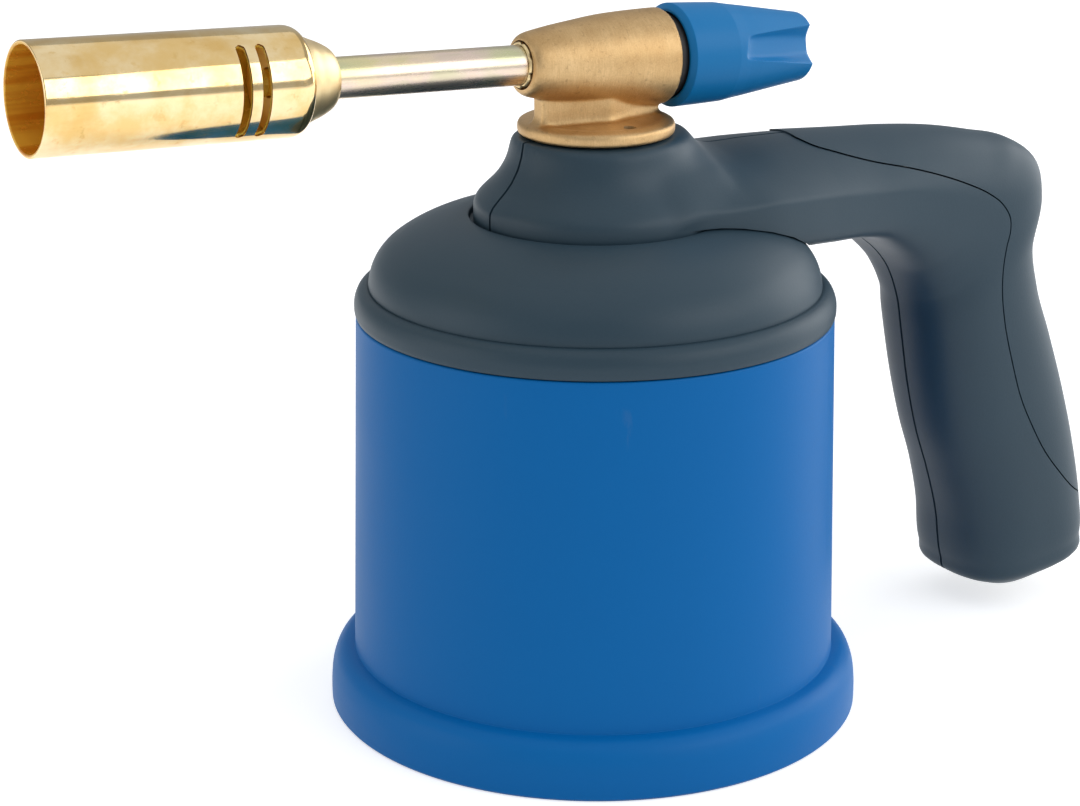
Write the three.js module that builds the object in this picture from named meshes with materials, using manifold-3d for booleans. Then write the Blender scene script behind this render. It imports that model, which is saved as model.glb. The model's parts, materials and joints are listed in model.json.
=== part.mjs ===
import * as THREE from 'three';
import { mergeVertices } from 'three/addons/utils/BufferGeometryUtils.js';
import Module from 'manifold-3d';

// Gas soldering torch in millimetres. The origin is on the canister axis at ground
// level, +Z is up, the burner points along -X and the handle reaches along +X.

// Clearances
const gap = 0.3;                    // between faces that meet
const threadGap = 0.4;              // between a plain thread and its hole, on the radius
const overrun = 1.5;                // how far a cutter runs past the face that it opens

// Pierceable cartridge
const cartridgeRadius = 44.5;
const cartridgeHeight = 91.7;
const cartridgeWall = 0.7;
const cartridgeOuterShares = [
  [0, 0.022], [0.8, 0.022], [0.88, 0], [0.97, 0], [1, 0.014], [1, 0.87], [0.94, 0.925],
  [0.65, 0.975], [0.35, 0.994],
];

// Cup that the cartridge stands in
const cupWall = 2.5;
const cupTaper = 1.6;               // how much wider the wall is at the foot
const cupFloor = 2.8;
const rimBelowCrown = 12.9;         // cup's rim below the cartridge's crown
const undersideDepth = 2.5;
const undersideBossRadius = 14;
const footSpread = 5.1;
const footHeight = 12;
const footSkin = 2.4;
const footOuterShares = [[1, 0], [0.98, 0.4], [0.86, 0.76], [0.5, 0.96], [0, 1]];

// Lid with its bayonet spigot
const spigotWall = 1.3;
const spigotPlay = 0.4;             // between the cartridge and the spigot
const spigotDepth = 9.9;
const lipHeight = 5.7;
const lipOverhang = 0.3;
const lipShelf = 2.6;               // from the cup's outside in to the foot of the dome
const lipShares = [[0.9, 0], [1, 0.28], [0.88, 0.66], [0.1, 1]];
const domeRise = 14.6;
const domeRimRadius = 26;
const domeWall = 2.2;
const domeShares = [
  [1, 0.01], [0.97, 0.21], [0.86, 0.47], [0.686, 0.671], [0.42, 0.848], [0, 1],
];
const wellDepth = 1.5;
const bossWall = 2.6;
const bossClearance = 0.6;          // from the cartridge's crown up to the boss
const lugCount = 3;
const firstLug = 30;                // degrees from the handle
const lugPlay = 1;                  // degrees, to each side of a lug
const lugTurn = 9;                  // degrees that a lug covers
const lockTurn = 22;                // degrees from locked to free
const lugProud = 1.1;
const lugHeight = 2.9;
const lugLift = 1.8;                // lug above the spigot's lower edge

// Threaded bush in the lid
const bushWall = 2.7;
const bushFlange = 1.5;
const bushFlangeHeight = 1;

// Piercing gear
const stemRadius = 10;
const stemSocketDepth = 6.3;
const sealHeight = 2;
const sealRadius = 7.4;
const needleRadius = 2;
const needleBore = 0.7;
const needleReach = 4;              // tip below the cartridge's crown
const needlePoint = 3;
const needleHeadRadius = 3.4;
const needleHeadHeight = 1.2;
const needleSeat = 1.7;             // stem material under the needle's head
const filterRadius = 4.6;
const filterHeight = 2.8;

// Collar of the handle
const collarRadius = 24.8;
const collarTopRadius = 17.1;
const collarHeight = 17.5;
const collarLift = 0.4;             // collar above the floor of the lid's well
const collarPlate = 3.7;
const collarShares = [
  [1, 0], [1, 0.206], [0.94, 0.284], [0.56, 0.44], [0.34, 0.549], [0.17, 0.674], [0.05, 0.823],
  [0, 1],
];
const shellWall = 2.4;
const seam = 0.3;                   // between the two handle shells

// Arm and grip: outer x, outer drop, inner x, inner drop, half width, crease, two roundnesses
const handleReach = 130.5;
const handleHeight = 110.3;
const armBelowCollar = 4;           // arm's top line below the collar's top
const armHalfWidth = 24.8;
const handleStationShares = [
  [0.000, 0.055, 0.000, 0.182, 0.96, 0.62],
  [0.050, 0.000, 0.050, 0.182, 0.975, 0.56],
  [0.100, -0.028, 0.100, 0.182, 0.98, 0.5],
  [0.140, -0.022, 0.140, 0.182, 0.98, 0.51],
  [0.165, -0.001, 0.169, 0.182, 0.98, 0.545],
  [0.199, 0.007, 0.215, 0.184, 0.97, 0.58],
  [0.276, 0.008, 0.284, 0.191, 0.91, 0.563],
  [0.368, 0.011, 0.360, 0.198, 0.82, 0.54],
  [0.475, 0.018, 0.429, 0.205, 0.74, 0.5],
  [0.575, 0.026, 0.483, 0.218, 0.69, 0.5],
  [0.670, 0.040, 0.525, 0.247, 0.66, 0.5],
  [0.747, 0.059, 0.556, 0.278, 0.645, 0.5],
  [0.811, 0.078, 0.578, 0.311, 0.635, 0.5],
  [0.855, 0.113, 0.592, 0.345, 0.63, 0.5],
  [0.862, 0.174, 0.603, 0.383, 0.63, 0.5],
  [0.845, 0.273, 0.611, 0.431, 0.63, 0.5],
  [0.860, 0.364, 0.618, 0.477, 0.63, 0.5],
  [0.896, 0.474, 0.632, 0.563, 0.63, 0.5],
  [0.935, 0.600, 0.655, 0.667, 0.63, 0.5],
  [0.968, 0.727, 0.684, 0.762, 0.64, 0.5],
  [0.988, 0.853, 0.708, 0.859, 0.655, 0.5],
  [0.990, 0.925, 0.724, 0.962, 0.66, 0.5],
  [0.979, 0.960, 0.737, 0.996, 0.63, 0.5],
  [0.935, 0.984, 0.775, 1.014, 0.5, 0.5],
];
const armTopPower = 2.1;
const armFlankPower = 7;
const gripPower = 2.5;
const gripEndPower = 3;

// Rear cover of the handle: the outline of its edge in side view, x and drop
const coverEdgeShares = [
  [0.357, -0.06], [0.357, 0.012], [0.367, 0.02], [0.399, 0.034], [0.463, 0.058], [0.534, 0.079],
  [0.594, 0.101], [0.649, 0.126], [0.693, 0.151], [0.724, 0.178], [0.741, 0.21], [0.742, 0.235],
  [0.736, 0.263], [0.731, 0.303], [0.731, 0.354], [0.738, 0.409], [0.762, 0.51], [0.787, 0.592],
  [0.813, 0.651], [0.845, 0.713], [0.885, 0.769], [0.92, 0.809], [0.96, 0.84], [1.1, 0.87],
  [1.1, -0.06],
];

// Screws that hold the two shells
const screwShares = [[0.37, 0.1], [0.69, 0.5], [0.8, 0.85]];
const screwRadius = 1.3;
const screwHeadRadius = 2.7;
const screwHeadHeight = 1.8;
const screwHeadDepth = 6.5;         // seat of the head from the seam
const screwGrip = 7.5;              // how far the screw runs into the other shell
const screwBossWall = 1.6;

// Valve body
const flangeRadius = 15.9;
const flangeHeight = 3.1;
const flangeRound = 0.9;
const spigotRadius = 8;
const pinHoleRadius = 0.9;
const pinHoleDepth = 1.6;
const pinHoleOffset = 12;
const webHalfLength = 14.1;
const webHalfWidth = 7;
const webCove = 0.7;
const axisAboveFlange = 11.5;
const axisTilt = 2.4;               // degrees that the burner rises
const barrelFront = 17;             // from the canister axis to the tube's end of the barrel
const barrelRear = 14.5;
const barrelFrontRadius = 7.2;
const barrelRearRadius = 9.9;
const barrelShares = [[0, 0], [0, 0.66], [0.016, 0.78], [0.06, 0.9], [0.135, 1]];
const barrelCrown = 0.75;           // how far the barrel's side swells past a straight taper
const barrelRearRound = 0.7;
const gasWayRadius = 1.3;
const riserOffset = 3;
const riserRadius = 1.5;
const chamberRadius = 3.2;
const chamberFront = 1.5;
const chamberRear = 4.6;
const glandBoreRadius = 5.6;

// Nut that clamps the handle's collar under the flange
const nutWall = 4.2;
const nutHeight = 4;
const nutFlats = 6;

// Needle valve and its knob
const seatLength = 1.8;
const seatOrifice = 0.9;
const spindlePointRadius = 0.5;
const spindleRadius = 3;
const spindleNeckRadius = 2.3;
const spindleNeckLength = 4.5;
const spindleLength = 40;
const ringSection = 0.75;
const glandLength = 3.2;
const glandFlangeRadius = 8.4;
const glandFlangeLength = 2.4;
const knobFront = 16.4;
const knobLength = 32.9;
const knobRadius = 10.7;
const knobEndRadius = 6.9;
const knobShares = [
  [0, 0.86], [0.012, 0.95], [0.035, 1], [0.43, 1], [0.47, 0.975], [0.53, 0.905], [0.975, 0.655],
  [1, 0.6],
];
const knobRecessRadius = 8.9;
const knobRecessDepth = 4.5;
const knobEndWall = 3;
const knobTravel = 1.5;             // along the axis, from closed to fully open
const fluteCount = 3;
const fluteRadius = 4.4;
const fluteFloorRadius = 3.7;
const fluteLength = 12.5;
const fluteTurn = 18;               // degrees of the first flute above the left side
const knobScrewRadius = 1.1;
const knobScrewHeadRadius = 2.2;
const knobScrewHeadHeight = 1.6;
const knobScrewLength = 5.5;

// Gas tube, burner head and flame tube, measured along the burner from the canister axis
const tubeRadius = 4;
const tubeWall = 1;
const tubeSocketDepth = 9.6;
const ferruleWall = 0.8;
const ferruleLength = 1.8;
const mouthReach = 120;
const flameTubeRadius = 10.6;
const flameTubeWall = 0.8;
const flameTubeLength = 53.4;
const flameTubeLip = 1.9;           // how far the rear end is rolled in
const flameTubeRoll = 2.7;
const flameTubeRollShares = [[0.55, 0.2], [0.85, 0.6]];
const slotPitch = 3.9;
const slotWidth = 1.9;
const slotBack = 10.7;              // nearer slot from the rear end of the flame tube
const slotHalfTurn = 54;            // degrees to each side of the horizontal
const noseLength = 7.3;
const noseRadius = 8.55;
const noseShares = [[0, 1], [0.33, 0.915], [0.62, 0.83], [0.85, 0.72], [0.97, 0.61], [1, 0.53]];
const headPlugRadius = 9.4;
const headPlugLength = 3;
const headPlugChamfer = 1.3;
const jetRadius = 2.6;
const jetLength = 6.5;
const jetOrifice = 0.4;
const jetProud = 2;
const stabiliserReach = 31;         // from the mouth in to the stabiliser
const stabiliserThickness = 1.6;
const stabiliserHoleRadius = 1.9;
const stabiliserHoleCircle = 5.8;
const stabiliserHoles = 6;

// Places that follow from the sizes above
const floorTop = undersideDepth + cupFloor;
const crown = floorTop + cartridgeHeight;
const cupRim = crown - rimBelowCrown;
const cupInner = cartridgeRadius + spigotPlay + spigotWall + gap;
const cupRadius = cupInner + cupWall;
const footWallRadius = cupRadius + cupTaper;
const footRadius = footWallRadius + footSpread;
const spigotOuter = cartridgeRadius + spigotPlay + spigotWall;
const lidBase = cupRim + gap;
const lipTop = lidBase + lipHeight;
const lipRadius = cupRadius + lipOverhang;
const domeRadius = cupRadius - lipShelf;
const domeTop = lipTop + domeRise;
const wellFloor = domeTop - wellDepth;
const bushInner = stemRadius + threadGap;
const bushOuter = bushInner + bushWall;
const bossInner = bushOuter + gap;
const bossOuter = bossInner + bossWall;
const bossBottom = crown + bossClearance;
const bossTop = wellFloor + gap;
const bushTop = bossTop + gap + bushFlangeHeight;
const collarBottom = wellFloor + collarLift;
const collarTop = collarBottom + collarHeight;
const armTop = collarTop - armBelowCollar;
const flangeBottom = collarTop + gap;
const flangeTop = flangeBottom + flangeHeight;
const nutTop = collarTop - collarPlate - gap;
const nutBottom = nutTop - nutHeight;
const stemTop = nutBottom - gap;
const stemBottom = crown + gap + sealHeight + gap;
const spigotBottom = stemTop - stemSocketDepth;
const filterBottom = spigotBottom - gap - filterHeight;
const needleHeadTop = filterBottom - gap;
const needleHeadBottom = stemBottom + needleSeat + gap;
const needleTip = crown - needleReach;
const axisHeight = flangeTop + axisAboveFlange;
const tubeOuterBore = tubeRadius + gap;
const tubeEnd = -barrelFront + tubeSocketDepth - gap;
const flameTubeInner = flameTubeRadius - flameTubeWall;
const flameTubeRear = -mouthReach + flameTubeLength;
const noseTip = flameTubeRear + noseLength;
const plugRear = flameTubeRear - flameTubeRoll;
const plugFront = plugRear - headPlugLength;
const knobEnd = knobFront + knobLength;

const degrees = Math.PI / 180;
const wideSides = 40;
const mediumSides = 28;
const smallSides = 16;
const hiddenSides = 12;
const ringSides = 6;
const weld = 1e-4;                  // corners closer than this are one

const wasm = await Module();
wasm.setup();

const finish = (color, roughness, metalness = 0) =>
  new THREE.MeshStandardMaterial({ color, roughness, metalness });
const bluePlastic = finish(0x0c68ab, 0.55);
const knobPlastic = finish(0x2672ad, 0.5);
const slatePlastic = finish(0x3f4f5a, 0.6);
const castBrass = finish(0xb58a4e, 0.5, 0.9);
const brightBrass = finish(0xe2bd63, 0.2, 1);
const steel = finish(0xb9b5a9, 0.3, 1);
const tinplate = finish(0xc9ccd0, 0.35, 1);
const blackRubber = finish(0x17181a, 0.8);

// Signed volume of a closed indexed geometry: negative where its faces point inwards.
function volume(geometry) {
  const corner = [new THREE.Vector3(), new THREE.Vector3(), new THREE.Vector3()];
  const { array } = geometry.index;
  let sum = 0;
  for (let i = 0; i < array.length; i += 3) {
    corner.forEach((c, k) => c.fromBufferAttribute(geometry.attributes.position, array[i + k]));
    sum += corner[0].dot(corner[1].cross(corner[2]));
  }
  return sum;
}

// One closed skin with merged corners, turned so that its faces point outwards.
function skin(geometry) {
  const bare = new THREE.BufferGeometry();
  bare.setAttribute('position', geometry.attributes.position.clone());
  bare.setIndex(geometry.index ? Array.from(geometry.index.array) : null);
  const merged = mergeVertices(bare, weld);
  const kept = [];
  for (let i = 0; i < merged.index.count; i += 3) {
    const [a, b, c] = merged.index.array.slice(i, i + 3);
    if (a !== b && b !== c && c !== a) kept.push(a, b, c);
  }
  merged.setIndex(kept);
  if (volume(merged) < 0) merged.setIndex(kept.reverse());
  return merged;
}

function solid(geometry) {
  const { attributes, index } = skin(geometry);
  const vertProperties = new Float32Array(attributes.position.array);
  const triVerts = new Uint32Array(index.array);
  return new wasm.Manifold(new wasm.Mesh({ numProp: 3, vertProperties, triVerts }));
}

function shapeOf(manifold) {
  const { vertProperties, triVerts } = manifold.getMesh();
  const geometry = new THREE.BufferGeometry();
  geometry.setAttribute('position', new THREE.BufferAttribute(new Float32Array(vertProperties), 3));
  geometry.setIndex(Array.from(triVerts));
  return geometry;
}

const joined = (...geometries) => shapeOf(geometries.map(solid).reduce((a, b) => a.add(b)));
const cut = (body, ...tools) => shapeOf(tools.map(solid).reduce((a, b) => a.subtract(b), solid(body)));
const common = (body, tool) => shapeOf(solid(body).intersect(solid(tool)));

// Turned about the vertical axis: the profile's points are radius and height.
function turned(profile, sides = mediumSides) {
  const points = profile.map(([radius, height]) => new THREE.Vector2(radius, height));
  return skin(new THREE.LatheGeometry(points, sides).rotateX(Math.PI / 2));
}

// Turned about the burner's axis: the profile's points are place along it and radius.
function turnedAlong(profile, sides = smallSides) {
  const points = profile.map(([place, radius]) => new THREE.Vector2(radius, place));
  return skin(new THREE.LatheGeometry(points, sides).rotateZ(-Math.PI / 2));
}

const tube = (outer, inner, low, high) =>
  [[outer, low], [outer, high], [inner, high], [inner, low], [outer, low]];
const rod = (radius, low, high) => [[0, low], [radius, low], [radius, high], [0, high]];
const rodAlong = (radius, from, to) => [[from, 0], [from, radius], [to, radius], [to, 0]];
const tubeAlong = (outer, inner, from, to) =>
  [[from, outer], [to, outer], [to, inner], [from, inner], [from, outer]];

// Shares of two spans, measured from a corner, as profile points.
const spread = (shares, fromRadius, radiusSpan, fromHeight, heightSpan) =>
  shares.map(([r, h]) => [fromRadius + r * radiusSpan, fromHeight + h * heightSpan]);

function boxBetween(low, high) {
  const [x, y, z] = high.map((value, i) => value - low[i]);
  const [cx, cy, cz] = high.map((value, i) => (value + low[i]) / 2);
  return new THREE.BoxGeometry(x, y, z).translate(cx, cy, cz);
}

// A flat outline in side view, as x and z, pulled across the handle by its width.
function acrossHandle(outline, halfWidth) {
  const shape = new THREE.Shape(outline.map(([x, z]) => new THREE.Vector2(x, z)));
  const plate = new THREE.ExtrudeGeometry(shape, { depth: 2 * halfWidth, bevelEnabled: false });
  return plate.rotateX(Math.PI / 2).translate(0, halfWidth, 0);
}

// An outline in side view, moved outwards along the normal at each of its points.
function grown(outline, by) {
  return outline.map(([x, z], k) => {
    const [fromX, fromZ] = outline[Math.max(k - 1, 0)];
    const [toX, toZ] = outline[Math.min(k + 1, outline.length - 1)];
    const length = Math.hypot(toX - fromX, toZ - fromZ);
    return [x + by * (toZ - fromZ) / length, z - by * (toX - fromX) / length];
  });
}

// A cylinder across the handle from one y to another, at a place in side view.
function pinAcross(radius, x, z, from, to) {
  const pin = new THREE.CylinderGeometry(radius, radius, to - from, hiddenSides);
  return pin.translate(x, (from + to) / 2, z);
}

// A loft through closed rings of points, with a flat fan over each end.
function loft(rings) {
  const sides = rings[0].length;
  const centre = ring => ring.reduce((sum, p) => sum.add(p), new THREE.Vector3()).divideScalar(sides);
  const points = [...rings.flat(), centre(rings[0]), centre(rings.at(-1))];
  const index = [];
  const start = sides * rings.length;
  for (let side = 0; side < sides; side += 1) {
    const next = (side + 1) % sides;
    for (let low = 0; low < start - sides; low += sides) {
      const high = low + sides;
      index.push(low + side, low + next, high + next, low + side, high + next, high + side);
    }
    index.push(start, next, side);
    index.push(start + 1, start - sides + side, start - sides + next);
  }
  const geometry = new THREE.BufferGeometry();
  const places = points.flatMap(point => point.toArray());
  geometry.setAttribute('position', new THREE.Float32BufferAttribute(places, 3));
  geometry.setIndex(index);
  return skin(geometry);
}

const part = new THREE.Group();

function piece(name, geometry, material, holder = part) {
  const flat = geometry.index ? geometry.toNonIndexed() : geometry;
  flat.computeVertexNormals();
  const mesh = new THREE.Mesh(flat, material);
  mesh.name = name;
  holder.add(mesh);
}

// A flat outline in plan, pulled up from one height to another.
function slab(outline, low, high) {
  const settings = { depth: high - low, bevelEnabled: false };
  return new THREE.ExtrudeGeometry(new THREE.Shape(outline), settings).translate(0, 0, low);
}

// Sectors of a ring about the vertical axis, from one angle to another in degrees.
function sector(outer, inner, low, high, from, to) {
  const steps = 6;
  const at = (radius, k) => {
    const angle = (from + (to - from) * k / steps) * degrees;
    return new THREE.Vector2(radius * Math.cos(angle), radius * Math.sin(angle));
  };
  const places = Array.from({ length: steps + 1 }, (_, k) => k);
  const outline = [...places.map(k => at(outer, k)), ...places.reverse().map(k => at(inner, k))];
  return slab(outline, low, high);
}

const lugLow = lidBase - spigotDepth + lugLift;
const lugHigh = lugLow + lugHeight;
const lugAngles = Array.from({ length: lugCount }, (_, k) => firstLug + 360 * k / lugCount);

function baseCup() {
  const wallInner = footWallRadius - cupWall;
  const channelInner = footRadius - footSkin;
  const profile = [
    [0, 0], [undersideBossRadius, 0], [undersideBossRadius, undersideDepth],
    [footWallRadius, undersideDepth], [footWallRadius, footHeight - footSkin],
    [channelInner - footSkin, footHeight - footSkin], [channelInner, footHeight / 2], [channelInner, 0],
    ...spread(footOuterShares, footWallRadius, footSpread, 0, footHeight),
    [cupRadius, cupRim], [cupInner, cupRim], [wallInner, floorTop], [0, floorTop],
  ];
  const run = lugAngles.map(angle => sector(spigotOuter + lugProud + gap, cupInner - overrun,
    lugLow - gap, lugHigh + gap, angle - lugTurn, angle + lugTurn + lockTurn));
  const entry = lugAngles.map(angle => sector(spigotOuter + lugProud + gap, cupInner - overrun,
    lugLow, cupRim + overrun, angle + lockTurn - lugTurn, angle + lockTurn + lugTurn));
  piece('base_cup', cut(turned(profile, wideSides), ...run, ...entry), bluePlastic);
}

function gasCartridge() {
  const hole = needleRadius + threadGap;
  const outer = spread(cartridgeOuterShares, 0, cartridgeRadius, floorTop, cartridgeHeight);
  const inner = spread(cartridgeOuterShares, 0, cartridgeRadius - cartridgeWall,
    floorTop + cartridgeWall, cartridgeHeight - 2 * cartridgeWall);
  const profile = [...outer, [hole, crown], [hole, crown - cartridgeWall], ...inner.reverse()];
  piece('gas_cartridge', turned(profile, mediumSides), tinplate);
}

function lidDome() {
  const rimSpan = domeRadius - domeRimRadius;
  const outer = [
    ...spread(lipShares, domeRadius, lipRadius - domeRadius, lidBase, lipHeight),
    ...spread(domeShares, domeRimRadius, rimSpan, lipTop, domeRise),
  ];
  const inner = spread(domeShares, domeRimRadius - domeWall, rimSpan, lipTop - domeWall,
    domeRise - wellDepth);
  const profile = [
    [bossInner, bossBottom], [bossInner, bossTop], [bossOuter, bossTop], [bossOuter, wellFloor],
    [domeRimRadius - gap, wellFloor], ...outer.reverse(), [spigotOuter, lidBase],
    [spigotOuter, lidBase - spigotDepth], [spigotOuter - spigotWall, lidBase - spigotDepth],
    [spigotOuter - spigotWall, lipTop - domeWall], ...inner.slice(1), [bossOuter, wellFloor - domeWall],
    [bossOuter, bossBottom], [bossInner, bossBottom],
  ];
  const lugs = lugAngles.map(angle => sector(spigotOuter + lugProud, spigotOuter - spigotWall / 2,
    lugLow, lugHigh, angle - lugTurn + lugPlay, angle + lugTurn - lugPlay));
  piece('lid_dome', joined(turned(profile, wideSides), ...lugs), slatePlastic);
}

function lidBush() {
  const profile = [
    [bushInner, bossBottom], [bushOuter, bossBottom], [bushOuter, bossTop + gap],
    [bushOuter + bushFlange, bossTop + gap], [bushOuter + bushFlange, bushTop], [bushInner, bushTop],
    [bushInner, bossBottom],
  ];
  piece('lid_threaded_bush', turned(profile), castBrass);
}

function piercingGear() {
  const washer = tube(sealRadius, needleRadius + gap, crown + gap, stemBottom - gap);
  piece('cartridge_seal', turned(washer), blackRubber);
  const headBore = needleHeadRadius + gap;
  piece('piercing_stem', turned([
    [needleRadius + gap, stemBottom], [stemRadius, stemBottom], [stemRadius, stemTop],
    [spigotRadius + gap, stemTop], [spigotRadius + gap, spigotBottom - gap],
    [filterRadius + gap, spigotBottom - gap],
    [filterRadius + gap, needleHeadTop], [headBore, needleHeadTop], [headBore, stemBottom + needleSeat],
    [needleRadius + gap, stemBottom + needleSeat], [needleRadius + gap, stemBottom],
  ]), castBrass);
  piece('piercing_needle', turned([
    [needleBore, needleTip], [needleRadius, needleTip + needlePoint], [needleRadius, needleHeadBottom],
    [needleHeadRadius, needleHeadBottom], [needleHeadRadius, needleHeadBottom + needleHeadHeight],
    [needleBore, needleHeadBottom + needleHeadHeight], [needleBore, needleTip],
  ], hiddenSides), steel);
  const filter = rod(filterRadius, filterBottom, filterBottom + filterHeight);
  piece('gas_filter', turned(filter, hiddenSides), tinplate);
}

// One cross-section of the arm or grip, drawn in from the outside by an inset.
function handleRing(station, [outerPower, innerPower], inset) {
  const [outerX, outerDrop, innerX, innerDrop, width, crease] = station;
  const outer = new THREE.Vector3(outerX * handleReach, 0, armTop - outerDrop * handleHeight);
  const inner = new THREE.Vector3(innerX * handleReach, 0, armTop - innerDrop * handleHeight);
  const along = outer.clone().sub(inner);
  const depth = along.length();
  const centre = inner.clone().lerp(outer, crease);
  along.normalize();
  const half = width * armHalfWidth - inset;
  const sides = inset > 0 ? 16 : 24;
  return Array.from({ length: sides }, (_, k) => {
    const c = Math.cos(2 * Math.PI * k / sides);
    const s = Math.sin(2 * Math.PI * k / sides);
    const power = 2 / (c >= 0 ? outerPower : innerPower);
    const reach = depth * (c >= 0 ? 1 - crease : crease) - inset;
    const point = centre.clone().addScaledVector(along, reach * Math.sign(c) * Math.abs(c) ** power);
    return point.setY(half * Math.sign(s) * Math.abs(s) ** power);
  });
}

// Roundness of a cross-section: a low arch over flat flanks on the arm, even all round on the grip.
function handlePowers(k) {
  const armLast = 8;
  const gripFirst = 14;
  const endFirst = 20;
  const turn = Math.min(Math.max((k - armLast) / (gripFirst - armLast), 0), 1);
  const end = Math.min(Math.max((k - gripFirst) / (endFirst - gripFirst), 0), 1);
  const grip = gripPower + end * (gripEndPower - gripPower);
  return [
    armTopPower + turn * (grip - armTopPower),
    armFlankPower + Math.sqrt(turn) * (grip - armFlankPower),
  ];
}

function armAndGrip(inset) {
  const rings = handleStationShares.map((station, k) => handleRing(station, handlePowers(k), inset));
  return loft(inset > 0 ? rings.slice(0, -2).filter((ring, k) => k % 2 === 1) : rings);
}

function bell(inset) {
  const span = collarRadius - collarTopRadius;
  const side = spread(collarShares, collarTopRadius, span, collarBottom, collarHeight);
  const top = inset > 0 ? collarTop - collarPlate : collarTop;
  const bottom = inset > 0 ? collarBottom - overrun : collarBottom;
  const walls = side.filter(([, z]) => z < top).map(([r, z]) => [r - inset, z]);
  const last = walls.at(-1)[0];
  return turned([
    [0, bottom], [collarRadius - inset, bottom], ...walls.slice(1), [last, top], [0, top],
  ]);
}

// The lid's dome grown by a clearance, which the arm's underside follows.
function domeClearance(play) {
  const rimSpan = domeRadius - domeRimRadius;
  const side = spread(domeShares, domeRimRadius + play, rimSpan, lipTop + play, domeRise);
  return turned([
    [0, lidBase], [lipRadius + play, lidBase], [lipRadius + play, lipTop + play], ...side,
    [0, domeTop + play],
  ], wideSides);
}

function handleShells() {
  const play = collarLift;
  const arm = cut(armAndGrip(0), domeClearance(play));
  const hollow = cut(armAndGrip(shellWall), domeClearance(play + shellWall));
  const outside = joined(bell(0), arm);
  const bore = turned(rod(spigotRadius + gap, nutTop, collarTop + overrun));
  const shell = cut(outside, joined(bell(shellWall), hollow), bore);

  const at = ([x, drop]) => [x * handleReach, armTop - drop * handleHeight];
  const coverOutline = coverEdgeShares.map(at);
  const wide = armHalfWidth + overrun;
  const coverBlock = acrossHandle(coverOutline, wide);
  const coverCut = acrossHandle(grown(coverOutline, gap), wide);
  piece('handle_back_cover', common(shell, coverBlock), slatePlastic);

  const bossRadius = screwRadius + gap + screwBossWall;
  const headBoss = screwHeadRadius + gap + screwBossWall;
  const bosses = screwShares.map(at).flatMap(([x, z]) =>
    [pinAcross(bossRadius, x, z, -wide, wide), pinAcross(headBoss, x, z, screwHeadDepth / 2, wide)]);
  const drilled = screwShares.map(at).flatMap(([x, z]) => [
    pinAcross(screwRadius + gap, x, z, -screwGrip - gap, screwHeadDepth + overrun),
    pinAcross(screwHeadRadius + gap, x, z, screwHeadDepth - gap, wide),
  ]);
  const walls = cut(joined(shell, common(joined(...bosses), outside)), coverCut, ...drilled);
  const far = handleReach + overrun;
  const low = armTop - handleHeight - overrun;
  const high = collarTop + overrun;
  const left = boxBetween([-far, -wide, low], [far, -seam / 2, high]);
  const right = boxBetween([-far, seam / 2, low], [far, wide, high]);
  piece('handle_left_shell', common(walls, left), slatePlastic);
  piece('handle_right_shell', common(walls, right), slatePlastic);

  screwShares.map(at).forEach(([x, z], k) => {
    const shank = pinAcross(screwRadius, x, z, -screwGrip, screwHeadDepth + gap);
    const head = pinAcross(screwHeadRadius, x, z, screwHeadDepth, screwHeadDepth + screwHeadHeight);
    piece(`handle_screw_${k + 1}`, joined(shank, head), steel);
  });
}

// The group whose +X runs back along the burner's axis, from the canister axis.
const burnerLine = new THREE.Group();
burnerLine.position.z = axisHeight;
burnerLine.rotation.y = axisTilt * degrees;
part.add(burnerLine);

const tilted = geometry => geometry.rotateY(axisTilt * degrees).translate(0, 0, axisHeight);

function valveBody() {
  const length = barrelFront + barrelRear;
  const front = barrelShares.map(([place, radius]) =>
    [-barrelFront + place * length, radius * barrelFrontRadius]);
  const start = front.at(-1)[0];
  const steps = 4;
  const side = Array.from({ length: steps }, (_, k) => {
    const t = (k + 1) / steps;
    const straight = barrelFrontRadius + t * (barrelRearRadius - barrelFrontRadius);
    const swell = barrelCrown * Math.sin(Math.PI * t);
    return [start + t * (barrelRear - barrelRearRound - start), straight + swell];
  });
  const barrel = turnedAlong([
    ...front, ...side, [barrelRear, barrelRearRadius - barrelRearRound], [barrelRear, 0],
  ], mediumSides);
  const flange = turned([
    [0, spigotBottom], [spigotRadius, spigotBottom], [spigotRadius, flangeBottom],
    [flangeRadius - flangeRound, flangeBottom], [flangeRadius, flangeBottom + flangeRound],
    [flangeRadius, flangeTop - 2 * flangeRound], [flangeRadius - flangeRound, flangeTop - flangeRound / 2],
    [webHalfWidth, flangeTop], [0, flangeTop],
  ], mediumSides);
  const diamond = (grow, low, high) => {
    const corners = [[1, 0], [0, 1], [-1, 0], [0, -1]].map(([x, y]) =>
      new THREE.Vector2(x * (webHalfLength + grow), y * (webHalfWidth + grow)));
    return slab(corners, low, high);
  };
  const body = joined(tilted(barrel), flange, diamond(0, flangeBottom + flangeRound, axisHeight),
    diamond(webCove, flangeBottom + flangeRound, flangeTop + webCove / 2));
  const bores = [
    rodAlong(tubeOuterBore, -barrelFront - overrun, -barrelFront + tubeSocketDepth),
    rodAlong(tubeOuterBore + ferruleWall + gap, -barrelFront - overrun, -barrelFront + ferruleLength),
    rodAlong(gasWayRadius, -barrelFront, 0),
    rodAlong(chamberRadius, -chamberFront, chamberRear + overrun),
    rodAlong(glandBoreRadius, chamberRear, barrelRear + overrun),
  ].map(profile => tilted(turnedAlong(profile)));
  const riser = turned(rod(riserRadius, spigotBottom - overrun, axisHeight), smallSides)
    .translate(riserOffset, 0, 0);
  const pinHole = turned(rod(pinHoleRadius, flangeTop - pinHoleDepth, flangeTop + overrun), smallSides)
    .translate(0, -pinHoleOffset, 0);
  piece('valve_body', cut(body, ...bores, riser, pinHole), castBrass);
}

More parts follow.
